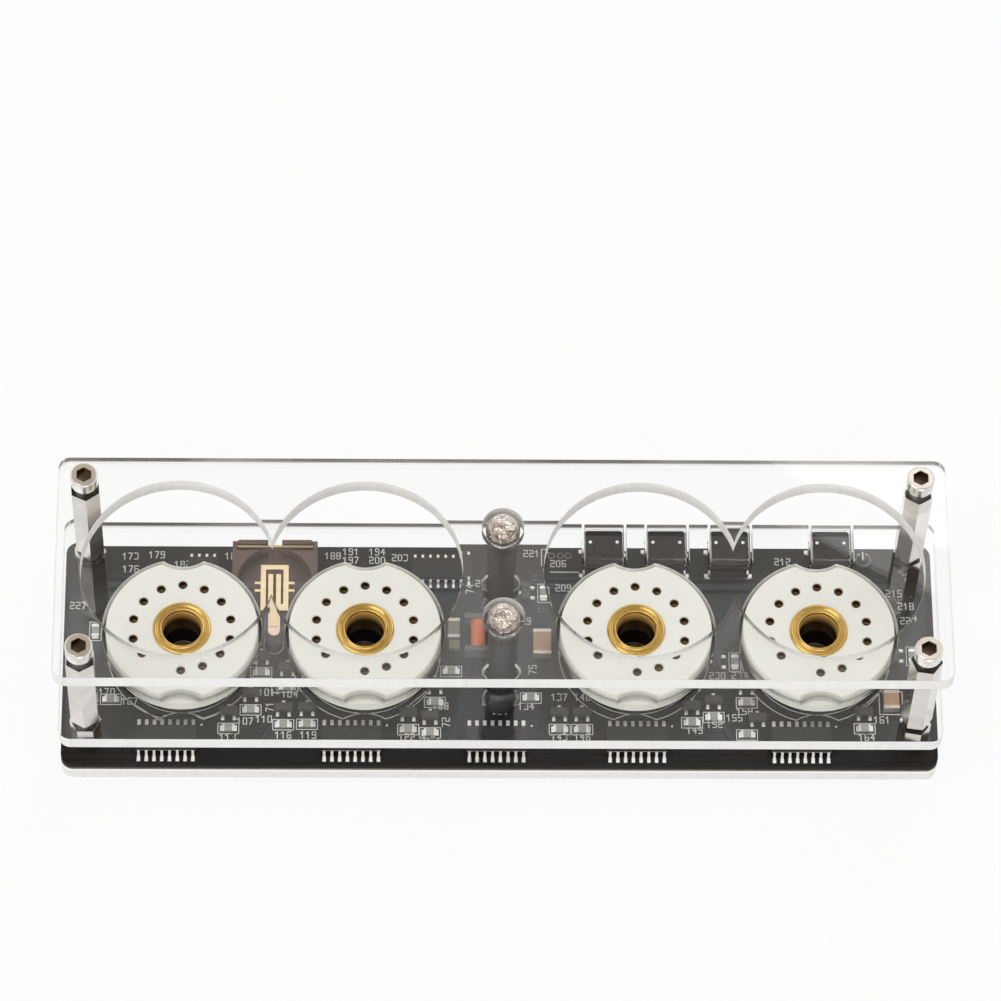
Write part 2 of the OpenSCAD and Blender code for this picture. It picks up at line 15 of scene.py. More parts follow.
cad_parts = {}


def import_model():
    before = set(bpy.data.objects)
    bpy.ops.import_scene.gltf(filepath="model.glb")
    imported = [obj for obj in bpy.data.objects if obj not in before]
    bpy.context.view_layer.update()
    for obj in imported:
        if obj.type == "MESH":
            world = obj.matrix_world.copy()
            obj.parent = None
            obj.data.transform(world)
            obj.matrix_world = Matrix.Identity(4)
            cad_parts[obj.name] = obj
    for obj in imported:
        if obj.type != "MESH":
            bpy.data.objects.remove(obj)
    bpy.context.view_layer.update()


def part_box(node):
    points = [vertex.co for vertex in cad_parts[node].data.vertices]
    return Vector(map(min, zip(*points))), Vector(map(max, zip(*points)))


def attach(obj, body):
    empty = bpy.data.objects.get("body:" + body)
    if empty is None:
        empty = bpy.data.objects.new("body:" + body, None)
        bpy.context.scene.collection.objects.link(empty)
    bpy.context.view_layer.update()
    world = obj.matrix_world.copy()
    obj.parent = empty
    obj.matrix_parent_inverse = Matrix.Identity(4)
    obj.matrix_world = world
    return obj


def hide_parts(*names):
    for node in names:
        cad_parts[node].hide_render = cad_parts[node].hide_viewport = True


LOG = logging.getLogger("nixie_clock_base")
MM = 0.001
TURN = 2 * math.pi

Point2 = tuple[float, float]
Point3 = tuple[float, float, float]
Quad = tuple[float, float, float, float]
Profile = tuple[Point2, ...]
Colour = tuple[float, float, float]
Socket = bpy.types.NodeSocket
Material = bpy.types.Material
Ring = list[bmesh.types.BMVert]

TINY = 1e-6
WELD_GAP = 2e-6
EDGE_ANGLE = 40.0
SIDES = (-1, 1)
CORNERS = ((-1, -1), (-1, 1), (1, -1), (1, 1))


class Body(Enum):
    """The rigid bodies that pieces ride on."""

    CLOCK = "clock_body"
    PLUNGER = "plunger_"

    def numbered(self, number: int) -> str:
        """The name of the numbered body of this kind."""
        return f"{self.value}{number}"


# ---------------- materials

PLASTIC_IOR = 1.49

# Places of the sockets of a Mix node that works on colours
MIX_INPUTS = (0, 6, 7)
MIX_RESULT = 2


class Graph:
    """The node graph of a material or world, with short calls that add and join nodes."""

    def __init__(self, owner: Material | bpy.types.World) -> None:
        """Clear the owner's graph.

        Args:
            owner: the material or world that the graph belongs to.
        """
        self.owner = owner
        owner.use_nodes = True
        self.tree = owner.node_tree
        self.tree.nodes.clear()

    def add(self, kind: str, settings: dict | None = None, **inputs: object) -> bpy.types.Node:
        """Add a node.

        Args:
            kind: the node type, without its ShaderNode prefix.
            settings: attributes of the node itself.
            inputs: socket values or links, by socket name with _ for blanks.

        Returns:
            The new node.
        """
        node = self.tree.nodes.new("ShaderNode" + kind)
        for key, value in (settings or {}).items():
            setattr(node, key, value)
        for key, value in inputs.items():
            self.feed(node.inputs[key.replace("_", " ")], value)
        return node

    def feed(self, socket: Socket, value: object) -> None:
        """Join a socket to a link, or set its value.

        Args:
            socket: the socket to feed.
            value: a link, a number or a colour.
        """
        if isinstance(value, Socket):
            self.tree.links.new(value, socket)
        elif isinstance(value, tuple) and len(value) == 3 and socket.type == "RGBA":
            socket.default_value = (*value, 1.0)
        else:
            socket.default_value = value

    def math(self, operation: str, first: object, second: object = 0.0) -> Socket:
        """The result of a maths node on one or two values.

        Args:
            operation: the node's operation.
            first, second: links or numbers.

        Returns:
            The node's result.
        """
        node = self.add("Math", {"operation": operation})
        self.feed(node.inputs[0], first)
        self.feed(node.inputs[1], second)
        return node.outputs[0]

    def ramp(self, factor: Socket, low: float, high: float,
             start: float = 0.0, end: float = 1.0) -> Socket:
        """A factor stretched so that low gives start and high gives end.

        Args:
            factor: what is stretched.
            low, high: its values at the two ends.
            start, end: what they turn into.

        Returns:
            The stretched factor, held between start and end.
        """
        node = self.add("MapRange")
        for name, value in (("Value", factor), ("From Min", low), ("From Max", high),
                            ("To Min", start), ("To Max", end)):
            self.feed(node.inputs[name], value)
        return node.outputs["Result"]

    def spread(self, factor: Socket, middle: float, shares: Point2) -> Socket:
        """A factor stretched between two shares of a middle value."""
        return self.ramp(factor, 0.0, 1.0, middle * shares[0], middle * shares[1])

    def mix(self, factor: object, first: object, second: object) -> Socket:
        """Two colours mixed by a factor.

        Args:
            factor: 0 for the first and 1 for the second.
            first, second: the colours.

        Returns:
            The mixed colour.
        """
        node = self.add("Mix", {"data_type": "RGBA"})
        for index, value in zip(MIX_INPUTS, (factor, first, second)):
            self.feed(node.inputs[index], value)
        return node.outputs[MIX_RESULT]

    def blend(self, factor: object, first: Socket, second: Socket) -> Socket:
        """Two shaders mixed by a factor.

        Args:
            factor: 0 for the first and 1 for the second.
            first, second: the shaders.

        Returns:
            The mixed shader.
        """
        node = self.add("MixShader")
        for socket, value in zip(node.inputs, (factor, first, second)):
            self.feed(socket, value)
        return node.outputs[0]

    def split(self, vector: Socket) -> bpy.types.Node:
        """A node that gives a vector's parts along each axis."""
        return self.add("SeparateXYZ", Vector=vector)

    def place(self) -> bpy.types.Node:
        """The place of a point in the object's own space, split into its axes."""
        return self.split(self.add("TexCoord").outputs["Object"])

    def normal(self) -> bpy.types.Node:
        """The direction that a face looks in, split into its axes."""
        return self.split(self.add("NewGeometry").outputs["True Normal"])

    def noise(self, scale: float, detail: float = 3.0, stretch: Point3 = (1, 1, 1)) -> Socket:
        """Noise in object space.

        Args:
            scale: cells per metre.
            detail: octaves.
            stretch: scale along each axis.

        Returns:
            The noise's factor.
        """
        place = self.add("TexCoord")
        mapping = self.add("Mapping", Scale=stretch, Vector=place.outputs["Object"])
        node = self.add("TexNoise", Scale=scale, Detail=detail, Vector=mapping.outputs[0])
        return node.outputs["Fac"]

    def bump(self, height: Socket, distance: float, strength: float = 1.0) -> Socket:
        """A bumped normal from a height and the depth of its full range in metres."""
        node = self.add("Bump", Strength=strength, Distance=distance, Height=height)
        return node.outputs["Normal"]

    def tilt(self) -> Socket:
        """How level a face is: 0 on walls and 1 on faces that look up or down."""
        return self.math("ABSOLUTE", self.normal().outputs["Z"])

    def principled(self, colour: object, rough: object, normal: object = None,
                   **inputs: object) -> Socket:
        """A general surface shader with its colour, roughness and normal joined.

        Args:
            colour, rough, normal: links or values, with no normal for a plain surface.
            inputs: other socket values, by socket name with _ for blanks.

        Returns:
            The shader.
        """
        shader = self.add("BsdfPrincipled", **inputs)
        self.feed(shader.inputs["Base Color"], colour)
        self.feed(shader.inputs["Roughness"], rough)
        if normal is not None:
            self.feed(shader.inputs["Normal"], normal)
        return shader.outputs[0]

    def transparent(self, colour: Colour = (1.0, 1.0, 1.0)) -> Socket:
        """A shader that lets light straight through."""
        return self.add("BsdfTransparent", Color=colour).outputs[0]

    def close(self, shader: Socket) -> object:
        """Join the last shader to the output and return the owner.

        Args:
            shader: the last shader.

        Returns:
            The material or world.
        """
        world = isinstance(self.owner, bpy.types.World)
        self.add("OutputWorld" if world else "OutputMaterial", Surface=shader)
        return self.owner


@dataclass(frozen=True)
class Finish:
    """A finish: its record slot and how its material is made."""

    name: str
    slot: str
    base: Colour = (0.8, 0.8, 0.8)
    roughness: float = 0.4

    def material(self) -> Material:
        """The finish's material, made on first use."""
        found = bpy.data.materials.get(self.name)
        return found or self.make(Graph(bpy.data.materials.new(self.name)))

    def make(self, graph: Graph) -> Material:
        """Build the material's nodes."""
        raise NotImplementedError


@dataclass(frozen=True)
class MetalFinish(Finish):
    """Plated or drawn metal with fine draw marks and worn patches."""

    marks: Point3 = (900.0, 900.0, 90.0)
    tint: Colour = (0.6, 0.55, 0.5)
    depth: float = 2e-6
    wear_scale: float = 160.0
    worn: Point2 = (0.35, 0.75)
    sheen: Point2 = (0.7, 1.4)

    def make(self, graph: Graph) -> Material:
        """Build the metal's nodes."""
        return graph.close(self.shader(graph))

    def shader(self, graph: Graph) -> Socket:
        """The metal's shader.

        Args:
            graph: the material's graph.

        Returns:
            The shader's output.
        """
        wear = graph.noise(self.wear_scale, 4.0)
        grain = graph.noise(1.0, 2.0, self.marks)
        colour = graph.mix(graph.ramp(wear, *self.worn), self.base, self.tint)
        rough = graph.spread(grain, self.roughness, self.sheen)
        bump = graph.bump(grain, self.depth)
        return graph.principled(colour, rough, bump, Metallic=1.0)


@dataclass(frozen=True)
class PlasticFinish(Finish):
    """Moulded plastic or epoxy: fine spark-eroded grain and slight mottling."""

    shade: Colour = (0.7, 0.7, 0.7)
    grain_scale: float = 4000.0
    depth: float = 8e-6
    soft: float = 0.0
    gloss: float = 0.5
    patch_scale: float = 90.0
    patchy: Point2 = (0.3, 0.8)
    sheen: Point2 = (0.85, 1.15)
    soft_depth: float = 0.0008

    def make(self, graph: Graph) -> Material:
        """Build the plastic's nodes."""
        return graph.close(self.shader(graph))

    def shader(self, graph: Graph) -> Socket:
        """The plastic's shader.

        Args:
            graph: the material's graph.

        Returns:
            The shader's output.
        """
        patches = graph.noise(self.patch_scale, 3.0)
        grain = graph.noise(self.grain_scale, 2.0)
        colour = graph.mix(graph.ramp(patches, *self.patchy), self.base, self.shade)
        rough = graph.spread(grain, self.roughness, self.sheen)
        soft = {"Subsurface_Weight": self.soft, "Subsurface_Scale": self.soft_depth}
        return graph.principled(colour, rough, graph.bump(grain, self.depth), IOR=PLASTIC_IOR,
                                Specular_IOR_Level=self.gloss, **(soft if self.soft else {}))


@dataclass(frozen=True)
class ClearFinish(Finish):
    """Clear cast sheet or lens: polished faces, frosted saw-cut walls, softly broken rims frosted
    in grey as painted shade, and a painted dark shade line on rear edges and hole arcs.

    Attributes:
        wall, rim: how much frost covers walls and broken rims.
        ripple, wave: the depth of the faces' waves in metres, and waves per metre.
        seam: how far back a hidden seam lies, in metres, or 0 for none.
        inner: how see-through a wall is from inside the sheet.
        rear: how far back an edge counts as a rear one, in metres.
        line_from: the height in metres at which the painted shade line starts.
        lamp_holes: the half width in metres of the strip that no arc is drawn in.
    """

    wall: float = 0.93
    rim: float = 0.68
    ripple: float = 4e-6
    wave: float = 60.0
    seam: float = 0.0
    inner: float = 0.92
    rear: float = 0.0197
    line_from: float = 0.0352
    rim_colour: Colour = (0.34, 0.33, 0.31)
    wall_tilt: Point2 = (0.2, 0.35)
    level_tilt: Point2 = (0.85, 0.95)
    saw_marks: Point3 = (900.0, 900.0, 60.0)
    saw_depth: float = 1e-5
    saw_colours: tuple[Colour, Colour] = ((0.99, 0.985, 0.97), (0.93, 0.925, 0.91))
    frost: float = 0.45
    seam_half: float = 0.0003
    shadow: Colour = (0.97, 0.97, 0.97)
    line_share: float = 0.92
    line_fade: float = 0.001
    line_colours: tuple[Colour, Colour] = ((0.06, 0.058, 0.054), (0.5, 0.49, 0.47))
    streaks: Point3 = (28.0, 0.0, 0.0)
    lamp_holes: float = 0.006

    def make(self, graph: Graph) -> Material:
        """Build the clear material's nodes.

        Args:
            graph: the material's empty graph.

        Returns:
            The finished material.
        """
        tilt = graph.tilt()
        wall = graph.ramp(tilt, *self.wall_tilt, 1.0, 0.0)
        level = graph.ramp(tilt, *self.level_tilt)
        rim = graph.math("SUBTRACT", graph.math("SUBTRACT", 1.0, wall), level)
        inside = graph.add("NewGeometry").outputs["Backfacing"]
        outside = graph.math("SUBTRACT", 1.0, inside)
        saw = graph.noise(1.0, 3.0, self.saw_marks)
        waves = graph.noise(self.wave, 1.0)
        glass = graph.principled(self.base, 0.0, graph.bump(waves, self.ripple), IOR=PLASTIC_IOR,
                                 Transmission_Weight=1.0)
        pale = graph.mix(graph.ramp(saw, 0.3, 0.7), *self.saw_colours)
        # Painted shade: broken rims are frosted in grey instead of pale.
        colour = graph.mix(rim, pale, self.rim_colour)
        frost = graph.principled(colour, self.frost, graph.bump(saw, self.saw_depth))
        share = graph.math("MULTIPLY", graph.math("MULTIPLY", wall, outside), self.wall)
        share = graph.math("ADD", share, graph.math("MULTIPLY", rim, self.rim))
        body = graph.blend(share, glass, frost)
        if self.inner:
            unseen = graph.math("MULTIPLY", wall, inside)
            through = graph.math("MULTIPLY", unseen, self.inner)
            body = graph.blend(through, body, graph.transparent())
            # Painted shade line on rear edges and hole arcs.
            body = self.rear_line(graph, graph.math("ADD", rim, unseen), inside, body)
        clear = graph.transparent(self.shadow)
        if self.seam:
            offset = graph.math("SUBTRACT", graph.place().outputs["Y"], self.seam)
            away = graph.math("ABSOLUTE", offset)
            upright = graph.math("SUBTRACT", 1.0, level)
            near = graph.math("LESS_THAN", away, self.seam_half)
            joined = graph.math("MULTIPLY", upright, near)
            body = graph.blend(joined, body, graph.transparent())
        ray = graph.add("LightPath").outputs["Is Shadow Ray"]
        return graph.close(graph.blend(ray, body, clear))

    def rear_line(self, graph: Graph, edge: Socket, inside: Socket, body: Socket) -> Socket:
        """Paint a dark line, painted shade, on the upper part of rear edges and of the tube holes'
        front arcs.

        The line is painted shade on cut edges that face away from the light, with painted glints in
        streaks along rear edges.

        Args:
            graph: the material's graph.
            edge: where rims, and walls met from inside, are.
            inside: where a face is met from inside the sheet.
            body: the shader so far.

        Returns:
            The shader with its dark lines.
        """
        place = graph.place()
        back = graph.math("GREATER_THAN", place.outputs["Y"], self.rear)
        normal = graph.normal()
        turn = graph.ramp(inside, 0.0, 1.0, 1.0, -1.0)
        facing = graph.math("MULTIPLY", normal.outputs["Y"], turn)
        rise, fall = graph.ramp(facing, 0.02, 0.3), graph.ramp(facing, 0.72, 0.97, 0.75, 0.15)
        arcs = graph.math("MULTIPLY", rise, fall)
        across = graph.math("ABSOLUTE", place.outputs["X"])
        beside = graph.math("GREATER_THAN", across, self.lamp_holes)
        where = graph.math("MAXIMUM", back, graph.math("MULTIPLY", arcs, beside))
        high = graph.ramp(place.outputs["Z"], self.line_from, self.line_from + self.line_fade)
        streaks = graph.ramp(graph.noise(1.0, 1.0, self.streaks), 0.44, 0.64)
        # Painted shade: dark on the front arcs, with painted glints breaking the rear edges' line
        # into streaks.
        colour = graph.mix(graph.math("MULTIPLY", streaks, back), *self.line_colours)
        dark = graph.principled(colour, 0.5)
        share = graph.math("MULTIPLY", graph.math("MULTIPLY", where, high), edge)
        return graph.blend(graph.math("MULTIPLY", share, self.line_share), body, dark)


@dataclass(frozen=True)
class BoardFinish(Finish):
    """Circuit board: dark solder mask over raised tracks, and a glass-fibre edge."""

    edge: Colour = (0.2, 0.18, 0.12)
    edge_dark: Colour = (0.13, 0.11, 0.07)
    edge_top: float = 0.00525
    edge_rough: float = 0.7
    track: Colour = (0.016, 0.0125, 0.0105)
    gloss: float = 0.18
    lanes: tuple[tuple[str, object], ...] = (
        ("Scale", 260.0), ("Color1", (1.0, 1.0, 1.0)), ("Color2", (0.7, 0.7, 0.7)),
        ("Mortar", (0.0, 0.0, 0.0)), ("Mortar Size", 0.05), ("Brick Width", 2.3),
        ("Row Height", 0.31),
    )

    def make(self, graph: Graph) -> Material:
        """Build the board's nodes.

        Args:
            graph: the material's empty graph.

        Returns:
            The finished material.
        """
        face = graph.ramp(graph.tilt(), 0.6, 0.8)
        place = graph.add("TexCoord").outputs["Object"]
        lanes = graph.add("TexBrick", {"offset": 0.37}, Vector=place)
        for name, value in self.lanes:
            graph.feed(lanes.inputs[name], value)
        height = graph.add("RGBToBW", Color=lanes.outputs["Color"]).outputs[0]
        patches = graph.ramp(graph.noise(70.0, 2.0), 0.4, 0.65)
        mask = graph.mix(graph.math("MULTIPLY", height, patches), self.base, self.track)
        weave = graph.noise(900.0, 3.0)
        core = graph.mix(graph.ramp(weave, 0.3, 0.7), self.edge, self.edge_dark)
        low = graph.math("LESS_THAN", graph.place().outputs["Z"], self.edge_top)
        rim = graph.mix(low, self.base, core)
        rough = graph.ramp(face, 0.0, 1.0, self.edge_rough, self.roughness)
        colour = graph.mix(face, rim, mask)
        return graph.close(graph.principled(colour, rough, graph.bump(height, 2e-5, 0.4),
                                            Specular_IOR_Level=self.gloss))


@dataclass(frozen=True)
class ChipFinish(PlasticFinish):
    """Epoxy package whose leads, beyond its long sides, are tinned."""

    row: float = 0.0
    half: float = 0.00193

    def make(self, graph: Graph) -> Material:
        """Build the package's nodes.

        Args:
            graph: the material's empty graph.

        Returns:
            The finished material.
        """
        offset = graph.math("SUBTRACT", graph.place().outputs["Y"], self.row)
        lead = graph.math("GREATER_THAN", graph.math("ABSOLUTE", offset), self.half)
        return graph.close(graph.blend(lead, self.shader(graph), TINNED.shader(graph)))


@dataclass(frozen=True)
class BoreFinish(PlasticFinish):
    """Lacquered brass bore, pale gold near its mouth, partly brass colour and partly painted
    highlight, and darker towards its foot in painted shade down to near black.
    """

    foot: float = 0.0134
    mouth: float = 0.016
    deep: Colour = (0.022, 0.01, 0.004)
    marks: Point3 = (900.0, 900.0, 120.0)

    def make(self, graph: Graph) -> Material:
        """Build the bore's nodes.

        Args:
            graph: the material's empty graph.

        Returns:
            The finished material.
        """
        height = graph.ramp(graph.place().outputs["Z"], self.foot, self.mouth)
        grain = graph.noise(1.0, 2.0, self.marks)
        upper = graph.mix(grain, self.base, self.shade)
        # Painted shade: darker towards the foot, from lit gold at the mouth to near black.
        colour = graph.mix(height, self.deep, upper)
        bump = graph.bump(grain, self.depth)
        return graph.close(graph.principled(colour, self.roughness, bump))


DARK, DARK_SHADE = (0.016, 0.014, 0.013), (0.024, 0.021, 0.02)
CLEAR = (0.99, 0.992, 0.99)
# Bore lining: painted highlight near the mouth, painted shade below.
BORE = BoreFinish("eyelet_bore", "brass", (0.85, 0.53, 0.17), 0.22, (0.6, 0.34, 0.09), depth=4e-6)
PAD = MetalFinish("board_gold_pad", "gold", (0.8, 0.58, 0.3), 0.4,
                  (300.0, 300.0, 300.0), (0.6, 0.42, 0.2))
ACRYLIC = ClearFinish("clear_acrylic", "acrylic", CLEAR)
MIDDLE = ClearFinish("clear_acrylic_slit", "acrylic", CLEAR, seam=0.01336, line_from=0.0132)
LENS = ClearFinish("lamp_lens_clear", "lamp_lens", (0.98, 0.975, 0.965), wall=0.0, rim=0.0,
                   ripple=2e-4, wave=650.0, inner=0.0)
NICKEL = MetalFinish("nickel_plate", "nickel", (0.7, 0.67, 0.64), 0.14, tint=(0.6, 0.56, 0.53))
# Dark brown lining for the screws' key recesses: painted shade inside the hexagon sockets.
RECESS_SHADE = MetalFinish("painted_recess_shade", "nickel", (0.14, 0.1, 0.07), 0.3, tint=(0.06, 0.045, 0.033))
SCREW = MetalFinish("screw_steel", "nickel", (0.88, 0.86, 0.83), 0.2, tint=(0.6, 0.58, 0.55))
BRASS = MetalFinish("brass_eyelet", "brass", (0.72, 0.5, 0.17), 0.22,
                    (700.0, 700.0, 90.0), (0.55, 0.36, 0.1))
# Contact bronze, partly its own colour and partly painted shade: darkened so that the pin holes'
# walls look shaded.
BRONZE_IN_SHADE = MetalFinish("contact_bronze_in_shade", "tinned", (0.3, 0.2, 0.11), 0.4, tint=(0.16, 0.1, 0.05))
SPRING = PlasticFinish("contact_spring", "tinned", (0.36, 0.32, 0.22), 0.4, (0.2, 0.17, 0.11))
ENDS = MetalFinish("capacitor_silver", "tinned", (0.62, 0.57, 0.5), 0.5,
                   (600.0, 600.0, 600.0), (0.5, 0.45, 0.38))
GOLD = MetalFinish("gold_clip", "gold", (0.85, 0.68, 0.42), 0.3,
                   (90.0, 900.0, 90.0), (0.72, 0.54, 0.32))
TAB = MetalFinish("clip_tab_tinned", "gold", (0.82, 0.68, 0.52), 0.4,
                  (90.0, 900.0, 90.0), (0.74, 0.6, 0.45))
TINNED = MetalFinish("tinned_lead", "tinned", (0.9, 0.89, 0.87), 0.4,
                     (600.0, 600.0, 600.0), (0.78, 0.76, 0.73))
CUP = MetalFinish("lamp_cup", "tinned", (0.76, 0.71, 0.66), 0.18,
                  (1100.0, 1100.0, 1100.0), (0.4, 0.31, 0.25), 6e-4)
NYLON = PlasticFinish("nylon_washer", "nylon", (0.8, 0.79, 0.75), 0.5, (0.72, 0.7, 0.66), soft=0.2)
SOCKET = PlasticFinish("socket_ivory", "socket_white", (0.86, 0.852, 0.79), 0.42,
                       (0.825, 0.815, 0.75), soft=0.12)
SPACER = PlasticFinish("black_spacer", "spacer_black", (0.02, 0.018, 0.017), 0.45,
                       (0.034, 0.03, 0.028))
HOLDER = PlasticFinish("holder_brown_black", "holder_plastic", (0.078, 0.047, 0.032), 0.35,
                       (0.115, 0.072, 0.052))
SWITCH = PlasticFinish("switch_matt_black", "switch_black", (0.011, 0.008, 0.0065), 0.5,
                       (0.016, 0.012, 0.01), gloss=0.12)
CHIP_FRONT = ChipFinish("chip_epoxy_front", "chip", DARK, 0.6, DARK_SHADE, 9000.0, 1e-5,
                        gloss=0.3, row=-0.0158)
CHIP_REAR = ChipFinish("chip_epoxy_rear", "chip", DARK, 0.6, DARK_SHADE, 9000.0, 1e-5,
                       gloss=0.3, row=0.0154)
PACKAGE = PlasticFinish("transistor_epoxy", "chip", (0.05, 0.046, 0.043), 0.55,
                        (0.035, 0.032, 0.03), 9000.0, 1e-5)
RESISTOR = PlasticFinish("resistor_ceramic", "resistor", (0.34, 0.33, 0.3), 0.4,
                         (0.27, 0.26, 0.24))
OLIVE = PlasticFinish("ceramic_olive", "olive_ceramic", (0.2, 0.17, 0.12), 0.5, (0.25, 0.22, 0.16))
TAN = PlasticFinish("ceramic_tan", "tan_ceramic", (0.4, 0.235, 0.13), 0.5, (0.33, 0.19, 0.1))
FERRITE = PlasticFinish("ferrite_grey", "ferrite", (0.1, 0.094, 0.09), 0.6, (0.14, 0.13, 0.125))
WINDING = PlasticFinish("enamel_winding", "winding", (0.76, 0.19, 0.06), 0.3, (0.64, 0.12, 0.035))
BOARD = BoardFinish("solder_mask", "board", (0.0082, 0.0068, 0.0056), 0.42)
SILK = PlasticFinish("silk_ink", "board", (0.74, 0.73, 0.7), 0.6, (0.6, 0.59, 0.57))


# ---------------- geometry


class Shape:
    """A mesh under construction, in millimetres of the part's frame."""

    def __init__(self) -> None:
        """Start with nothing."""
        self.bm = bmesh.new()

    def prism(self, outline: Sequence[Point2], low: float, high: float) -> None:
        """Add an outline raised from one height to another.

        Args:
            outline: its points in order.
            low, high: the two heights.
        """
        bottom = [self.bm.verts.new((x, y, low)) for x, y in outline]
        top = [self.bm.verts.new((x, y, high)) for x, y in outline]
        self.bm.faces.new(bottom[::-1])
        self.bm.faces.new(top)
        count = len(outline)
        for i in range(count):
            j = (i + 1) % count
            self.bm.faces.new((bottom[i], bottom[j], top[j], top[i]))

    def block(self, x: float, y: float, turn: float, box: Sequence[float]) -> None:
        """Add a box given about a place on the board.

        Args:
            x, y: the place.
            turn: the turn about it in degrees.
            box: the box's two corners about the place, x0, y0, z0, x1, y1, z1.
        """
        x0, y0, z0, x1, y1, z1 = box
        self.prism([turned(px, py, x, y, turn) for px, py in rectangle(x0, y0, x1, y1)], z0, z1)

    def lathe(self, profile: Sequence[Point2], centre: Sequence[float], steps: int = 48,
              closed: bool = False, phase: float = 0.0) -> None:
        """Turn a profile of (radius, height) points about an upright axis.

        Args:
            profile: points from the axis or a rim to the other end.
            centre: where the axis stands and its zero height.
            steps: sides of the turned form.
            closed: join the profile's end back to its start.
            phase: the first side's angle in degrees.
        """
        rings: list[Ring] = []
        start = math.radians(phase)
        for radius, height in profile:
            if radius < TINY:
                rings.append([self.bm.verts.new((centre[0], centre[1], centre[2] + height))])
                continue
            rings.append([
                self.bm.verts.new((
                    centre[0] + radius * math.cos(start + TURN * k / steps),
                    centre[1] + radius * math.sin(start + TURN * k / steps),
                    centre[2] + height,
                ))
                for k in range(steps)
            ])
        self.loft(rings, closed=closed)

    def loft(self, rings: Sequence[Ring], closed: bool = False, capped: bool = False) -> None:
        """Join rings in order, back to the first if closed, with both ends filled if capped.

        Args:
            rings: rings of points.
            closed: join the last ring to the first.
            capped: fill both ends.
        """
        pairs = list(zip(rings, rings[1:]))
        if closed:
            pairs.append((rings[-1], rings[0]))
        for below, above in pairs:
            self.bridge(below, above)
        if capped:
            self.bm.faces.new(rings[0][::-1])
            self.bm.faces.new(rings[-1])

    def bridge(self, below: Ring, above: Ring) -> None:
        """Join two rings, either of which may be a single point.

        Args:
            below, above: the rings.
        """
        count = max(len(below), len(above))
        for k in range(count):
            m = (k + 1) % count
            corners = [below[k % len(below)], below[m % len(below)],
                       above[m % len(above)], above[k % len(above)]]
            unique = list(dict.fromkeys(corners))
            if len(unique) > 2:
                self.bm.faces.new(unique)

    def ribbon(self, points: Sequence[Point2], width: float, low: float, high: float,
               closed: bool = False) -> None:
        """Add a flat line of even width along points.

        Args:
            points: the line's points.
            width: its width.
            low, high: the heights of its underside and face.
            closed: join its last point to its first.
        """
        spans = list(zip(points, points[1:]))
        if closed:
            spans.append((points[-1], points[0]))
        for (ax, ay), (bx, by) in spans:
            run = math.hypot(bx - ax, by - ay)
            if run < TINY:
                continue
            ux, uy = (bx - ax) / run * width / 2, (by - ay) / run * width / 2
            self.prism([
                (ax - ux + uy, ay - uy - ux), (bx + ux + uy, by + uy - ux),
                (bx + ux - uy, by + uy + ux), (ax - ux - uy, ay - uy + ux),
            ], low, high)

    def wire(self, points: Sequence[Sequence[float]], radius: float, steps: int = 8) -> None:
        """Add a round wire along a curve that lies in an upright plane.

        Args:
            points: the curve's points, all at one depth y.
            radius: the wire's radius.
            steps: sides of its section.
        """
        rings: list[Ring] = []
        for k, (x, y, z) in enumerate(points):
            before, after = points[max(k - 1, 0)], points[min(k + 1, len(points) - 1)]
            run = math.hypot(after[0] - before[0], after[2] - before[2])
            nx, nz = (before[2] - after[2]) / run, (after[0] - before[0]) / run
            ring = []
            for m in range(steps):
                c, s = math.cos(TURN * m / steps), math.sin(TURN * m / steps)
                ring.append(self.bm.verts.new(
                    (x + nx * radius * c, y + radius * s, z + nz * radius * c)))
            rings.append(ring)
        self.loft(rings, capped=True)

    def piece(self, name: str, finish: Finish, body: str, replaces: Iterable[str] = (),
              smooth: float = 35.0, bevel: float = 0.0) -> bpy.types.Object:
        """Close the shape into an object that rides on a body.

        Args:
            name: the piece's name.
            finish: its finish.
            body: the body that it rides on.
            replaces: the nodes that it stands for.
            smooth: the edge angle below which shading is smooth.
            bevel: the width of a bevel on sharp edges, in millimetres.

        Returns:
            The finished object.
        """
        bmesh.ops.recalc_face_normals(self.bm, faces=self.bm.faces)
        mesh = bpy.data.meshes.new(name)
        self.bm.transform(Matrix.Scale(MM, 4))
        self.bm.to_mesh(mesh)
        self.bm.free()
        mesh.shade_smooth()
        mesh.set_sharp_from_angle(angle=math.radians(smooth))
        made = bpy.data.objects.new(name, mesh)
        bpy.context.scene.collection.objects.link(made)
        mesh.materials.append(finish.material())
        if bevel:
            round_edges(made, bevel, 2)
        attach(made, body)
        nodes = list(replaces)
        if nodes:
            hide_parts(*nodes)
        LOG.info("piece %s", name)
        return made


def rectangle(x0: float, y0: float, x1: float, y1: float) -> list[Point2]:
    """A rectangle's corners in order round it."""
    return [(x0, y0), (x1, y0), (x1, y1), (x0, y1)]


def span(side: int, near: float, far: float) -> list[float]:
    """A stretch on one side of a middle, with its lower end first."""
    return sorted((side * near, side * far))


def turned(px: float, py: float, x: float, y: float, turn: float) -> Point2:
    """A point about a place, turned about it in degrees."""
    c, s = math.cos(math.radians(turn)), math.sin(math.radians(turn))
    return x + px * c - py * s, y + px * s + py * c


def arc(x: float, y: float, radius: float, start: float, end: float, steps: int) -> list[Point2]:
    """Points along an arc.

    Args:
        x, y, radius: the arc's middle and radius.
        start, end: its two angles in degrees.
        steps: how many parts it is cut into.

    Returns:
        The points, one more than the parts.
    """
    return [
        (x + radius * math.cos(math.radians(start + (end - start) * k / steps)),
         y + radius * math.sin(math.radians(start + (end - start) * k / steps)))
        for k in range(steps + 1)
    ]


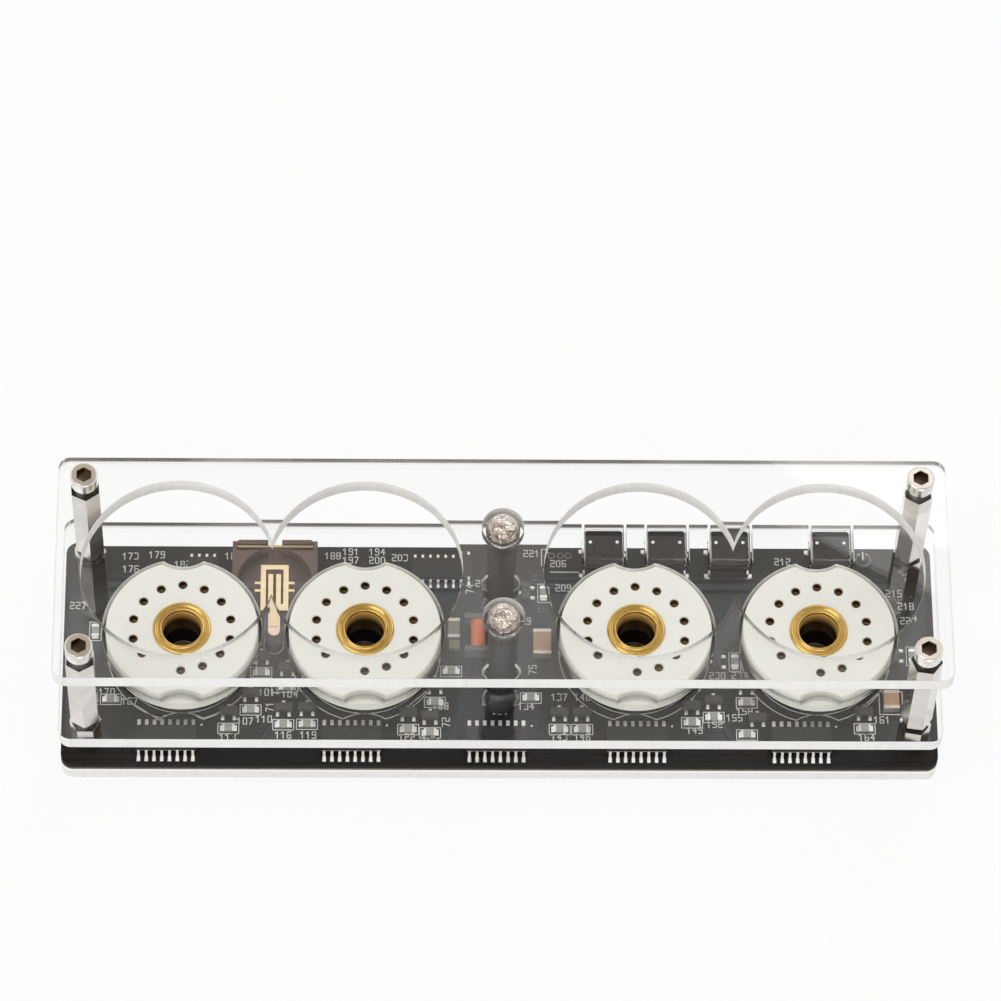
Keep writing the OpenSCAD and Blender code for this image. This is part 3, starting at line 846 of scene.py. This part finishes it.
def round_edges(target: bpy.types.Object, width: float, segments: int) -> None:
    """Break an object's sharp edges, by a width in millimetres.

    Args:
        target: the object.
        width: the width of the broken edge.
        segments: the faces across it.
    """
    edge = target.modifiers.new("edge", "BEVEL")
    edge.width = width * MM
    edge.segments = segments
    edge.limit_method = "ANGLE"
    edge.angle_limit = math.radians(EDGE_ANGLE)


def dress(nodes: Iterable[str], finish: Finish, rim: float = 0.0) -> None:
    """Give carried-over nodes a finish.

    Args:
        nodes: the nodes' names.
        finish: what they get.
        rim: the width that their sharp edges are broken by, in millimetres.
    """
    for name in nodes:
        carried = bpy.data.objects[name]
        carried.data.materials.clear()
        carried.data.materials.append(finish.material())
        if rim:
            weld = carried.modifiers.new("weld", "WELD")
            weld.merge_threshold = WELD_GAP
            round_edges(carried, rim, 1)
        LOG.info("node %s in %s", name, finish.name)


# ---------------- the object

BOARD_TOP = 6.3
TUBE_X = (-52.25, -22.25, 22.25, 52.25)
CLOCK = Body.CLOCK.value


@dataclass
class ClearSheets:
    """The three clear sheets and the four tongues cut in the middle one."""

    tongues: int = 4
    rim: float = 0.16

    def build(self) -> None:
        """Dress the sheets and tongues."""
        dress(["base_plate", "top_plate"], ACRYLIC, self.rim)
        dress(["middle_plate"], MIDDLE, self.rim)
        dress([f"button_tongue_{n + 1}" for n in range(self.tongues)], MIDDLE, self.rim)


@dataclass
class Hardware:
    """Screws, washers and hexagonal standoffs."""

    post: Point2 = (67.7, 15.5)
    recess_low: float = 38.93
    recess_high: float = 40.12
    recess_r: float = 1.37
    recess_wall: float = 0.06
    recess_floor: float = 0.02
    dimple_r: float = 0.5

    def build(self) -> None:
        """Dress the metal and nylon hardware and line the key recesses with dark brown, painted
        shade.
        """
        dress(["base_screws", "cap_screws"], SCREW, 0.12)
        dress(["lower_standoffs", "upper_standoffs"], NICKEL, 0.1)
        dress(["board_washers"], NYLON)
        low, high, floor = self.recess_low, self.recess_high, self.recess_low + self.recess_floor
        r, inner, wall = self.recess_r, self.recess_r - self.recess_wall, 2 * self.recess_wall
        profile = [(0, low), (r, low), (r, high), (inner, high), (inner, low + wall),
                   (self.dimple_r, floor), (0, floor)]
        # Linings of the key recesses, painted shade in dark brown.
        shape = Shape()
        for sx, sy in CORNERS:
            shape.lathe(profile, (sx * self.post[0], sy * self.post[1], 0), 6, phase=30)
        shape.piece("painted_recess_shades", RECESS_SHADE, CLOCK, smooth=20)


# Strokes of the plain numbers printed on the board, on a grid two wide and four high
GRID_MIDDLE = (1, 2)
STROKES = {
    "0": ((0, 0), (2, 0), (2, 4), (0, 4), (0, 0)),
    "1": ((0, 3), (1, 4), (1, 0)),
    "2": ((0, 4), (2, 4), (2, 2), (0, 2), (0, 0), (2, 0)),
    "3": ((0, 4), (2, 4), (2, 2), (0.5, 2), (2, 2), (2, 0), (0, 0)),
    "4": ((1.5, 0), (1.5, 4), (0, 1.5), (2, 1.5)),
    "5": ((2, 4), (0, 4), (0, 2), (2, 2), (2, 0), (0, 0)),
    "6": ((2, 4), (0, 4), (0, 0), (2, 0), (2, 2), (0, 2)),
    "7": ((0, 4), (2, 4), (0.6, 0)),
    "8": ((0, 2), (0, 4), (2, 4), (2, 0), (0, 0), (0, 2), (2, 2)),
    "9": ((0, 0), (2, 0), (2, 4), (0, 4), (0, 2), (2, 2)),
}


@dataclass
class CircuitBoard:
    """The dark board with its white ink: socket outlines, part frames and plain numbers."""

    top: float = BOARD_TOP
    ink: float = 0.03
    line: float = 0.16
    outline_r: float = 12.5
    inner_r: float = 11.05
    notch_half: float = 3.46
    notch_y: float = 12.01
    notch_r: float = 6.3
    notch_centre: float = 17.3
    digit: float = 0.29
    advance: float = 3.3
    numbers: tuple[Point2, ...] = (
        (-38.4, -7.2), (-34.6, -7.5), (-41.9, -12.5), (-38.8, -12.1), (-44.7, -15.4),
        (-35.6, -15.0), (-31.5, -15.0), (-15.3, -15.3), (-11.5, -15.5), (-9.8, -9.6),
        (0.0, -10.5), (4.3, -9.6), (9.8, -7.9), (13.6, -7.9), (9.7, -15.2), (13.5, -15.2),
        (32.0, -13.9), (35.3, -12.8), (38.6, -11.6), (40.3, -10.4), (62.9, -11.9), (60.3, -15.1),
        (-60.9, -8.9), (-64.7, -7.2), (-61.4, 18.1), (-61.3, 15.7), (-57.0, 18.4), (-52.7, 16.6),
        (-44.3, 18.2), (-27.7, 18.3), (-24.7, 19.1), (-20.3, 19.1), (-24.7, 17.5), (-20.3, 17.5),
        (-16.5, 18.0), (9.9, 17.0), (10.7, 12.4), (47.4, 17.5), (65.8, 11.6), (67.7, 9.2),
        (5.4, 18.3), (68.0, 6.5), (-69.8, 8.2), (35.9, -4.4), (39.6, -4.4), (-2.6, 12.6),
        (3.9, 5.6),
    )
    numbers_turned: tuple[Point2, ...] = (
        (-37.9, -9.9), (-8.9, -12.6), (-37.0, -6.9), (-4.9, 11.6), (5.4, -3.4), (-31.9, -5.4))
    first_number: int = 101
    first_turned: int = 71
    frames: tuple[Quad, ...] = ((62.6, -10.9, 66.4, -6.7), (-68.3, -10.0, -66.2, -7.2))
    lines: tuple[Profile, ...] = (
        ((-44.1, -9.6), (-42.6, -8.1)), ((-32.9, -6.8), (-31.6, -8.2)),
        ((-14.8, -9.4), (-12.2, -7.0)), ((11.6, -6.6), (12.6, -7.6)),
        ((31.9, -7.8), (33.1, -6.5)), ((60.5, -8.9), (62.4, -7.1)),
        ((-2.8, -8.6), (-2.8, -9.4), (2.7, -9.4)), ((7.1, 16.0), (7.1, 19.1), (8.3, 19.1)),
        ((8.6, 15.4), (13.3, 15.4)), ((-61.6, -8.5), (-55.9, -12.4), (-55.1, -11.5)),
        ((-49.8, -11.7), (-48.7, -12.2), (-46.5, -11.3)),
    )
    rings: tuple[Point3, ...] = (
        (8.8, 18.5, 0.5), (10.3, 18.5, 0.5), (11.6, 18.5, 0.5), (38.8, 2.2, 0.4), (37.8, 1.1, 0.3),
        (6.0, 13.7, 0.4), (6.8, 7.6, 0.4),
    )
    dots: Profile = ((-49.0, -13.2), (-18.6, -13.2), (5.2, -13.2), (28.3, -13.2), (55.3, -13.2))
    dot_r: float = 0.2
    power_mark: Point3 = (60.9, 18.0, 1.2)
    power_stem: float = 1.3
    power_line: float = 1.7
    clip_mark: Quad = (-37.3, 6.0, 0.9, 1.6)
    pad_ring: float = 2.78
    pad: Profile = ((0.4, 0), (2.5, 0), (2.5, 0.04), (0.4, 0.04))

    def socket_ring(self) -> list[Point2]:
        """The socket's outline with its two notches, about the socket's own centre.

        Returns:
            The outline's points in order.
        """
        side = math.degrees(math.atan2(self.notch_y, self.notch_half))
        swing = math.degrees(math.atan2(self.notch_half, self.notch_centre - self.notch_y))
        right = arc(0, 0, self.outline_r, -side, side, 40)
        rear = arc(0, self.notch_centre, self.notch_r, 270 + swing, 270 - swing, 10)
        left = arc(0, 0, self.outline_r, 180 - side, 180 + side, 40)
        front = arc(0, -self.notch_centre, self.notch_r, 90 + swing, 90 - swing, 10)
        return right + rear[1:-1] + left + front[1:-1]

    def draw(self, ink: Shape, points: Sequence[Point2], closed: bool = False,
             bold: float = 1.0) -> None:
        """Draw one line of ink, bold times its usual width."""
        ink.ribbon(points, self.line * bold, self.top, self.top + self.ink, closed)

    def number(self, ink: Shape, value: int, x: float, y: float, turn: float) -> None:
        """Print a number centred on a place.

        Args:
            ink: the shape that takes it.
            value: the number.
            x, y: the middle of the number.
            turn: its turn in degrees.
        """
        text = str(value)
        for k, mark in enumerate(text):
            shift = (k - (len(text) - 1) / 2) * self.advance - GRID_MIDDLE[0]
            self.draw(ink, [
                turned((px + shift) * self.digit, (py - GRID_MIDDLE[1]) * self.digit, x, y, turn)
                for px, py in STROKES[mark]
            ])

    def build(self) -> None:
        """Dress the board and print its ink."""
        dress(["main_board"], BOARD)
        ink = Shape()
        for x in TUBE_X:
            self.draw(ink, [(x + px, py) for px, py in self.socket_ring()], True)
            self.draw(ink, arc(x, 0, self.inner_r, 0, 360, 72))
        for k, (x, y) in enumerate(self.numbers):
            self.number(ink, self.first_number + 3 * k, x, y, 0)
        for k, (x, y) in enumerate(self.numbers_turned):
            self.number(ink, self.first_turned + k, x, y, 90)
        for frame in self.frames:
            self.draw(ink, rectangle(*frame), True)
        for points in self.lines:
            self.draw(ink, points)
        for x, y, r in self.rings:
            self.draw(ink, arc(x, y, r, 0, 360, 16))
        x, y, r = self.power_mark
        self.draw(ink, arc(x, y, r, 120, 420, 18), bold=self.power_line)
        self.draw(ink, [(x, y), (x, y + self.power_stem)], bold=self.power_line)
        x, end, bend, r = self.clip_mark
        bow = arc(x, bend, r, 180, 360, 12)
        self.draw(ink, [(x - r, end), (x - r, bend), *bow, (x + r, end)])
        low, high, r = self.top, self.top + self.ink, self.dot_r
        for x, y in self.dots:
            ink.lathe([(0, low), (r, low), (r, high), (0, high)], (x, y, 0), 12)
        for x in TUBE_X:
            self.draw(ink, arc(x, 0, self.pad_ring, 0, 360, 40))
        ink.piece("board_ink", SILK, CLOCK)
        pads = Shape()
        for x in TUBE_X:
            pads.lathe(self.pad, (x, 0, self.top), 40, closed=True)
        pads.piece("centre_pads", PAD, CLOCK)


@dataclass
class TubeSockets:
    """The four white valve sockets with brass eyelets and bronze contacts."""

    pins: int = 14
    missing: int = 8
    pin_r: float = 8.15
    pin_sides: int = 16
    bore_sides: int = 72
    eyelet: Profile = (
        (3.2, 10.5), (3.2, 16.3), (3.24, 16.48), (3.34, 16.6), (3.48, 16.65), (3.62, 16.6),
        (3.72, 16.48), (3.78, 16.36), (3.92, 16.32), (4.06, 16.38), (4.18, 16.5), (4.34, 16.56),
        (4.52, 16.55), (4.68, 16.46), (4.78, 16.34), (4.8, 16.2), (3.65, 16.2), (3.65, 10.5),
        (4.2, 10.5), (4.25, 10.38), (4.15, 10.25), (3.3, 10.25),
    )
    liner: Profile = ((3.12, 10.4), (3.12, 15.9), (3.15, 16.1), (3.2, 16.1), (3.2, 10.4))
    sleeve: Profile = (
        (0.0, 12.76), (0.73, 12.76), (0.73, 15.95), (0.64, 15.95), (0.6, 15.8), (0.6, 12.86),
        (0.0, 12.86),
    )
    leaf: Profile = ((0.24, 14.35), (0.6, 14.6), (0.6, 14.8), (0.42, 14.77), (0.24, 14.55))

    def contacts(self, number: int, x: float) -> None:
        """Line a socket's pin holes with bronze sleeves darkened as painted shade, with a pale
        spring in each.

        Args:
            number: the socket's number.
            x: where the socket stands.
        """
        sleeves, springs = Shape(), Shape()
        for k in range(self.pins):
            if k != self.missing:
                angle = math.radians(90 - k * 360 / self.pins)
                centre = (x + self.pin_r * math.cos(angle), self.pin_r * math.sin(angle), 0)
                sleeves.lathe(self.sleeve, centre, self.pin_sides)
                springs.lathe(self.leaf, centre, self.pin_sides, closed=True)
        sleeves.piece(f"pin_sleeves_{number}", BRONZE_IN_SHADE, CLOCK)
        springs.piece(f"pin_springs_{number}", SPRING, CLOCK)

    def build(self) -> None:
        """Dress the sockets and turn their eyelets and bores."""
        for n, x in enumerate(TUBE_X, 1):
            dress([f"socket_cap_{n}"], SOCKET, 0.14)
            dress([f"socket_base_{n}"], SOCKET)
            dress([f"socket_contacts_{n}"], BRONZE_IN_SHADE)
            self.contacts(n, x)
            eyelet, bore = Shape(), Shape()
            eyelet.lathe(self.eyelet, (x, 0, 0), self.bore_sides, closed=True)
            eyelet.piece(f"eyelet_{n}", BRASS, CLOCK, [f"socket_eyelet_{n}"], 60)
            bore.lathe(self.liner, (x, 0, 0), self.bore_sides, closed=True)
            bore.piece(f"eyelet_bore_{n}", BORE, CLOCK)


@dataclass
class ColonLamps:
    """Two clear lamps on black spacers, the clock's colon."""

    lamps: tuple[tuple[str, float], ...] = (("rear", 7.6), ("front", -8.7))
    foot: float = 33.8
    height: float = 5.3
    lens_r: float = 2.8
    lens_foot: float = 0.1
    spacer_r: float = 2.1
    cup_x: float = -0.05
    cup_levels: Profile = ((1.2, 0.7), (1.8, 1.1), (2.2, 1.9), (2.4, 2.85), (2.2, 3.2),
                           (1.6, 2.85), (1.0, 2.5), (0.4, 2.65))
    cup_sides: int = 22
    crumple: float = 0.07
    lift: float = 0.12
    inserts: tuple[tuple[float, ...], ...] = (
        (-0.42, -0.17, 2.5, -0.08, 0.17, 2.75), (0.3, -0.3, 2.9, 1.5, 0.3, 3.1))
    wire_r: float = 0.24
    wire_y: float = -0.9
    wire_root: float = 0.1
    wire_steps: int = 12
    wire_bows: tuple[Point3, ...] = ((1.0, 15.9, 21.6), (0.8, 6.3, 12.6))

    def build(self) -> None:
        """Dress the spacers and leads, and fit lenses, cups and bent wires."""
        dress(["lamp_spacer_rear", "lamp_spacer_front"], SPACER)
        dress(["lamp_leads"], TINNED)
        for name, y in self.lamps:
            lens, r, foot = Shape(), self.lens_r, self.lens_foot
            dome = arc(0, self.height - r, r, 0, 84, 12)
            lens.lathe([(0, 0), (r - foot, 0), (r, foot), *dome, (0, self.height)],
                       (0, y, self.foot), 48)
            lens.piece(f"lamp_lens_{name}", LENS, CLOCK, [f"lamp_{name}"], 60)
            cup = Shape()
            self.cup(cup, self.cup_x, y)
            for x0, y0, z0, x1, y1, z1 in self.inserts:
                cup.block(0, y, 0, (x0, y0, self.foot + z0, x1, y1, self.foot + z1))
            cup.piece(f"lamp_cup_{name}", CUP, CLOCK, smooth=25)
            wires = Shape()
            self.wires(wires, y)
            wires.piece(f"lamp_wires_{name}", TINNED, CLOCK)

    def wires(self, shape: Shape, y: float) -> None:
        """Bend the four wires beside a lamp's spacer.

        Args:
            shape: the shape that takes them.
            y: where the lamp stands.
        """
        root, steps = self.spacer_r - self.wire_root, self.wire_steps
        for side in SIDES:
            for reach, low, high in self.wire_bows:
                shape.wire([
                    (side * (root + reach * math.sin(math.pi * k / steps)), y + self.wire_y,
                     low + (high - low) * k / steps)
                    for k in range(steps + 1)
                ], self.wire_r)

    def cup(self, shape: Shape, x: float, y: float) -> None:
        """Form a lamp's crumpled reflector cup about a place, by folds that do not repeat.

        Args:
            shape: the shape that takes it.
            x, y: the place.
        """
        rings: list[Ring] = []
        for row, (radius, height) in enumerate(self.cup_levels):
            ring = []
            for k in range(self.cup_sides):
                fold = math.sin(k * 2.4 + row * 1.9) + 0.6 * math.sin(k * 4.1 - row * 2.7)
                spread = radius + self.crumple * fold
                angle = TURN * (k + 0.3 * math.sin(row * 2.1 + k)) / self.cup_sides
                z = self.foot + (height + self.lift * math.sin(k * 3.3 + row))
                ring.append(shape.bm.verts.new(
                    (x + spread * math.cos(angle), y + spread * math.sin(angle), z)))
            rings.append(ring)
        shape.loft(rings, capped=True)


@dataclass
class PushButtons:
    """Four push switches under the tongues."""

    places: tuple[float, ...] = (17.3, 27.7, 38.2, 55.0)
    y: float = 16.9
    cap_half: float = 3.12
    cap_front: float = 13.5
    cap_rear: float = 19.95
    cap_corner: float = 0.45
    cap_top: float = 12.5
    cap_depth: float = 0.6
    dot: Profile = ((0, -0.05), (0.3, -0.05), (0.28, 0.04), (0.2, 0.08), (0, 0.1))
    dot_at: Point2 = (2.24, 0.9)
    leg_at: Point2 = (3.3, 2.25)
    pad_half: Point2 = (0.3, 0.45)
    pad_height: float = 0.08

    def cap_outline(self, x: float) -> list[Point2]:
        """A cap's outline about a button's place, with round corners.

        Args:
            x: where the button stands.

        Returns:
            The outline's points in order.
        """
        outline: list[Point2] = []
        corner = self.cap_corner
        for sx, sy, start in ((1, 1, 0), (-1, 1, 90), (-1, -1, 180), (1, -1, 270)):
            y = (self.cap_rear if sy > 0 else self.cap_front) - sy * corner
            outline += arc(x + sx * (self.cap_half - corner), y, corner, start, start + 90, 4)
        return outline

    def build(self) -> None:
        """Dress the switches and fit a flat cap on each plunger, with two pale tinned dots that are
        painted highlights.
        """
        dress(["switch_bodies"], SWITCH)
        dress(["switch_legs"], TINNED)
        dress([f"button_plunger_{n + 1}" for n in range(len(self.places))], SWITCH)
        for n, x in enumerate(self.places, 1):
            body = Body.PLUNGER.numbered(n)
            cap, dots = Shape(), Shape()
            cap.prism(self.cap_outline(x), self.cap_top - self.cap_depth, self.cap_top)
            cap.piece(f"button_cap_{n}", SWITCH, body, bevel=0.1)
            # Painted highlights: two pale dots near the cap's rear corners.
            for side in SIDES:
                dots.lathe(self.dot, (x + side * self.dot_at[0], self.y + self.dot_at[1],
                                      self.cap_top), 16)
            dots.piece(f"cap_glints_{n}", TINNED, body)
        pads = Shape()
        (along, across), (px, py) = self.leg_at, self.pad_half
        for x in self.places:
            for sx, sy in CORNERS:
                pads.block(x + sx * along, self.y + sy * across, 0,
                           (-px, -py, BOARD_TOP, px, py, BOARD_TOP + self.pad_height))
        pads.piece("switch_pads", TINNED, CLOCK, bevel=0.03)


@dataclass
class CoinHolder:
    """The empty coin-cell holder and its gold clip."""

    x: float = -37.25
    top: float = 10.1
    thick: float = 0.1
    half: float = 1.0
    root: float = 4.9
    bend: float = 1.75

    def build(self) -> None:
        """Dress the holder and add the clip's pale round-ended tab."""
        dress(["battery_holder"], HOLDER, 0.15)
        dress(["battery_contact", "battery_spring"], GOLD)
        tab, x, half = Shape(), self.x, self.half
        end = [(x - half, self.root), *arc(x, self.bend, half, 180, 360, 14), (x + half, self.root)]
        tab.prism(end, self.top, self.top + self.thick)
        tab.piece("clip_tab", TAB, CLOCK, bevel=0.03)


@dataclass
class Electronics:
    """Chips and small parts on the board, with their solder and ink frames."""

    drivers: int = 5
    leads: int = 8
    pitch: float = 1.27
    stages: tuple[Quad, ...] = (
        (-44.6, -10.9, 0, 0), (-41, -7.5, 0, 0), (-35.6, -10.2, 0, 0), (-31.7, -10.1, 0, 0),
        (-15.1, -11, 0, 0), (-11.5, -11.6, 0, 0), (-10.7, -6, 0, 0), (9.8, -10.9, 0, 0),
        (13.5, -10.9, 0, 0), (31.6, -9.6, 0, 0), (35.2, -8.6, 0, 0), (40.7, -5.9, 0, 0),
        (42.4, -11.8, 0, -1.8), (60, -10.6, 0, 0), (-39.3, -1.2, 0, 0), (-35, -3.3, 0, 0),
        (35.9, -1.9, 90, 0), (4.4, 10.8, 90, 0), (65.3, -0.7, 90, 0),
    )
    loose: tuple[Point3, ...] = ((5.1, -8.1, 0), (-66.8, 3.4, 90), (-64, -8.6, 0), (-8, -3.8, 0))
    reach: float = 2.95
    feet: Profile = ((-0.95, -1.05), (0.95, -1.05), (0.0, 1.05))
    foot_steps: tuple[Quad, ...] = ((0.28, 0.42, 0.0, 0.12), (0.22, 0.3, 0.12, 0.34))
    end_steps: tuple[Quad, ...] = ((0.62, 1.02, 0.64, 0.52), (1.0, 1.4, 0.55, 0.16))
    frame: Quad = (-1.72, -0.95, 1.72, 0.95)
    frame_line: Point2 = (0.14, 0.03)
    capacitors: tuple[tuple[float, ...], ...] = (
        (-7.6, 3.7, 2.0, 3.6, 1.3), (7.0, 1.0, 3.0, 4.6, 1.8), (64.5, -8.8, 2.6, 3.4, 1.6))
    band: float = 0.62
    proud: float = 0.02
    pad_half: float = 0.3
    pad_under: float = 0.5
    pad_past: float = 0.45
    pad_height: float = 0.1
    coil_turns: int = 11
    coil_length: float = 5.0
    coil_r: float = 1.2
    coil_bore: float = 0.68
    coil_wave: float = 0.045
    coil_at: Point3 = (-3.6, 2.2, BOARD_TOP + 1.4)

    def solder(self) -> None:
        """Tin the feet of the transistors and the ends of the resistors and capacitors."""
        z = BOARD_TOP
        tin, frames, caps = Shape(), Shape(), Shape()
        for x, y, turn, shift in self.stages:
            for px, py in self.feet:
                for wide, deep, low, high in self.foot_steps:
                    tin.block(x, y, turn, (px - wide, py - deep, z + low,
                                           px + wide, py + deep, z + high))
            cx, cy = turned(shift, -self.reach, x, y, turn)
            self.resistor(tin, frames, cx, cy, turn)
        for x, y, turn in self.loose:
            self.resistor(tin, frames, x, y, turn)
        tin.piece("solder_tin", TINNED, CLOCK, bevel=0.05)
        frames.piece("part_frames", SILK, CLOCK)
        for x, y, width, length, height in self.capacitors:
            half = width / 2 + self.proud
            for side in SIDES:
                low, high = span(side, length / 2 - self.band, length / 2 + self.proud)
                caps.block(x, y, 0, (-half, low, z, half, high, z + height + self.proud))
        caps.piece("capacitor_ends", ENDS, CLOCK, bevel=0.08)

    def resistor(self, tin: Shape, frames: Shape, x: float, y: float, turn: float) -> None:
        """Tin a resistor's two ends and frame it in ink.

        Args:
            tin, frames: the shapes that take the tin and the ink.
            x, y: the middle of the resistor.
            turn: its turn in degrees.
        """
        z = BOARD_TOP
        for side in SIDES:
            for near, far, half, height in self.end_steps:
                low, high = span(side, near, far)
                tin.block(x, y, turn, (low, -half, z, high, half, z + height))
        width, ink = self.frame_line
        corners = [turned(px, py, x, y, turn) for px, py in rectangle(*self.frame)]
        frames.ribbon(corners, width, z, z + ink, True)

    def chip_pads(self) -> None:
        """Lay a solder pad under each lead of the driver chips."""
        pads, half, top = Shape(), self.pad_half, BOARD_TOP + self.pad_height
        for n in range(self.drivers):
            low, high = (Vector(corner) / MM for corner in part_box(f"driver_chip_{n + 1}"))
            middle = (low + high) / 2
            reach = (high.y - low.y) / 2
            for k in range(self.leads):
                x = middle.x + (k - (self.leads - 1) / 2) * self.pitch
                for side in SIDES:
                    near, far = span(side, reach - self.pad_under, reach + self.pad_past)
                    pads.block(x, middle.y, 0, (-half, near, BOARD_TOP, half, far, top))
        pads.piece("driver_pads", TINNED, CLOCK, bevel=0.04)

    def winding(self) -> None:
        """Wind the inductor's wire in close turns."""
        shape, length, steps = Shape(), self.coil_length, 4 * self.coil_turns
        waves = [
            (self.coil_r + self.coil_wave * math.cos(TURN * k / 4),
             -length / 2 + length * k / steps)
            for k in range(steps + 1)
        ]
        ends = ((self.coil_bore, -length / 2), (self.coil_bore, length / 2))
        shape.lathe([ends[0], *waves, ends[1]], (0, 0, 0), 32, closed=True)
        lay = Matrix.Rotation(math.pi / 2, 4, "X")
        shape.bm.transform(Matrix.Translation(self.coil_at) @ lay)
        shape.piece("winding_turns", WINDING, CLOCK, ["inductor_winding"], 80)

    def build(self) -> None:
        """Dress the chips and the small parts."""
        dress([f"driver_chip_{n + 1}" for n in range(self.drivers)], CHIP_FRONT)
        dress(["control_chip", "clock_chip"], CHIP_REAR)
        dress(["transistors"], PACKAGE)
        dress(["resistors"], RESISTOR)
        dress(["small_capacitors"], OLIVE)
        dress(["large_capacitors"], TAN)
        dress(["inductor_core"], FERRITE)
        self.winding()
        self.solder()
        self.chip_pads()


# ---------------- studio


@dataclass
class Studio:
    """The camera, the soft lights and the pale floor."""

    eye: Point3 = (-0.02059, -0.42836, 0.84439)
    forward: Point3 = (0.02196477, 0.47938901, -0.87732761)
    right: Point3 = (0.99974988, -0.00683649, 0.02129414)
    up: Point3 = (-0.00421033, 0.87757589, 0.47941926)
    lens: float = 204.37
    sensor: float = 36.0
    aim: Point3 = (0, 0, 0.02)
    fill: float = 0.62
    fill_colour: Colour = (1.0, 0.99, 0.975)
    overhead: Colour = (0.5, 0.43, 0.35)
    white: Colour = (1.0, 1.0, 1.0)
    glow: float = 0.88
    floor_reach: float = 6.0
    key: float = 5.7
    lamps: tuple[tuple[str, Point3, float, float], ...] = (
        ("key_light", (-0.7, -0.5, 1.3), 0.9, 1.0), ("front_light", (0.15, -1.4, 0.4), 0.8, 0.35),
        ("rear_light", (0.5, 0.9, 1.1), 0.8, 0.5))

    def camera(self) -> None:
        """Place the camera."""
        data = bpy.data.cameras.new("camera")
        data.lens = self.lens
        data.sensor_width = self.sensor
        data.clip_start, data.clip_end = 0.01, 50.0
        camera = bpy.data.objects.new("camera", data)
        back = -Vector(self.forward)
        axes = Matrix((self.right, self.up, back)).transposed().to_4x4()
        camera.matrix_world = Matrix.Translation(self.eye) @ axes
        bpy.context.scene.collection.objects.link(camera)
        bpy.context.scene.camera = camera

    def lamp(self, name: str, place: Point3, size: float, power: float) -> None:
        """Hang a square soft light that looks at the object.

        Args:
            name: the light's name.
            place: where it hangs, in metres.
            size: its side in metres.
            power: its power in watts.
        """
        data = bpy.data.lights.new(name, "AREA")
        data.size = size
        data.energy = power
        lamp = bpy.data.objects.new(name, data)
        lamp.location = place
        look = Vector(self.aim) - Vector(place)
        lamp.rotation_euler = look.to_track_quat("-Z", "Y").to_euler()
        bpy.context.scene.collection.objects.link(lamp)

    def world(self) -> None:
        """A pale surround: white as a background, and dimmer overhead in reflections."""
        world = bpy.data.worlds.new("surround")
        graph = Graph(world)
        height = graph.split(graph.add("TexCoord").outputs["Generated"])
        overhead = graph.ramp(height.outputs["Z"], 0.15, 0.8)
        glossy = graph.mix(overhead, (1.0, 1.0, 0.99), self.overhead)
        path = graph.add("LightPath")
        seen = graph.math("MAXIMUM", path.outputs["Is Camera Ray"],
                          path.outputs["Is Transmission Ray"])
        dim = graph.add("Background", Color=self.fill_colour, Strength=self.fill)
        mirror = graph.add("Background", Color=glossy)
        white = graph.add("Background", Color=self.white, Strength=1.0)
        shade = graph.blend(path.outputs["Is Glossy Ray"], dim.outputs[0], mirror.outputs[0])
        graph.close(graph.blend(seen, shade, white.outputs[0]))
        bpy.context.scene.world = world

    def floor(self) -> None:
        """A plain pale floor that keeps the object's shadow."""
        graph = Graph(bpy.data.materials.new("pale_floor"))
        speckle = graph.noise(30.0, 2.0)
        colour = graph.mix(speckle, (0.97, 0.97, 0.97), (0.95, 0.95, 0.95))
        plain = graph.add("BsdfDiffuse", Color=colour)
        glow = graph.add("Emission", Color=self.white, Strength=1.0)
        path = graph.add("LightPath")
        seen = graph.math("MAXIMUM", path.outputs["Is Camera Ray"], path.outputs["Is Glossy Ray"])
        seen = graph.math("MAXIMUM", seen, path.outputs["Is Transmission Ray"])
        share = graph.math("MULTIPLY", seen, self.glow)
        graph.close(graph.blend(share, plain.outputs[0], glow.outputs[0]))
        mesh = bpy.data.meshes.new("floor")
        reach = self.floor_reach
        corners = [(x, y, 0) for x, y in rectangle(-reach, -reach, reach, reach)]
        mesh.from_pydata(corners, [], [(0, 1, 2, 3)])
        mesh.materials.append(graph.owner)
        floor = bpy.data.objects.new("floor", mesh)
        bpy.context.scene.collection.objects.link(floor)

    def build(self) -> None:
        """Set up the view, the lights and the floor."""
        self.camera()
        self.world()
        self.floor()
        for name, place, size, share in self.lamps:
            self.lamp(name, place, size, self.key * share)
        bpy.context.scene.view_settings.view_transform = "Standard"


def main() -> None:
    """Build the object's looks in order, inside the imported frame."""
    logging.basicConfig(level=logging.INFO, format="%(name)s: %(message)s")
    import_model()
    Studio().build()
    for part in (ClearSheets(), Hardware(), CircuitBoard(), TubeSockets(), ColonLamps(),
                 PushButtons(), CoinHolder(), Electronics()):
        LOG.info("building %s", type(part).__name__)
        part.build()


if __name__ == "__main__":
    main()
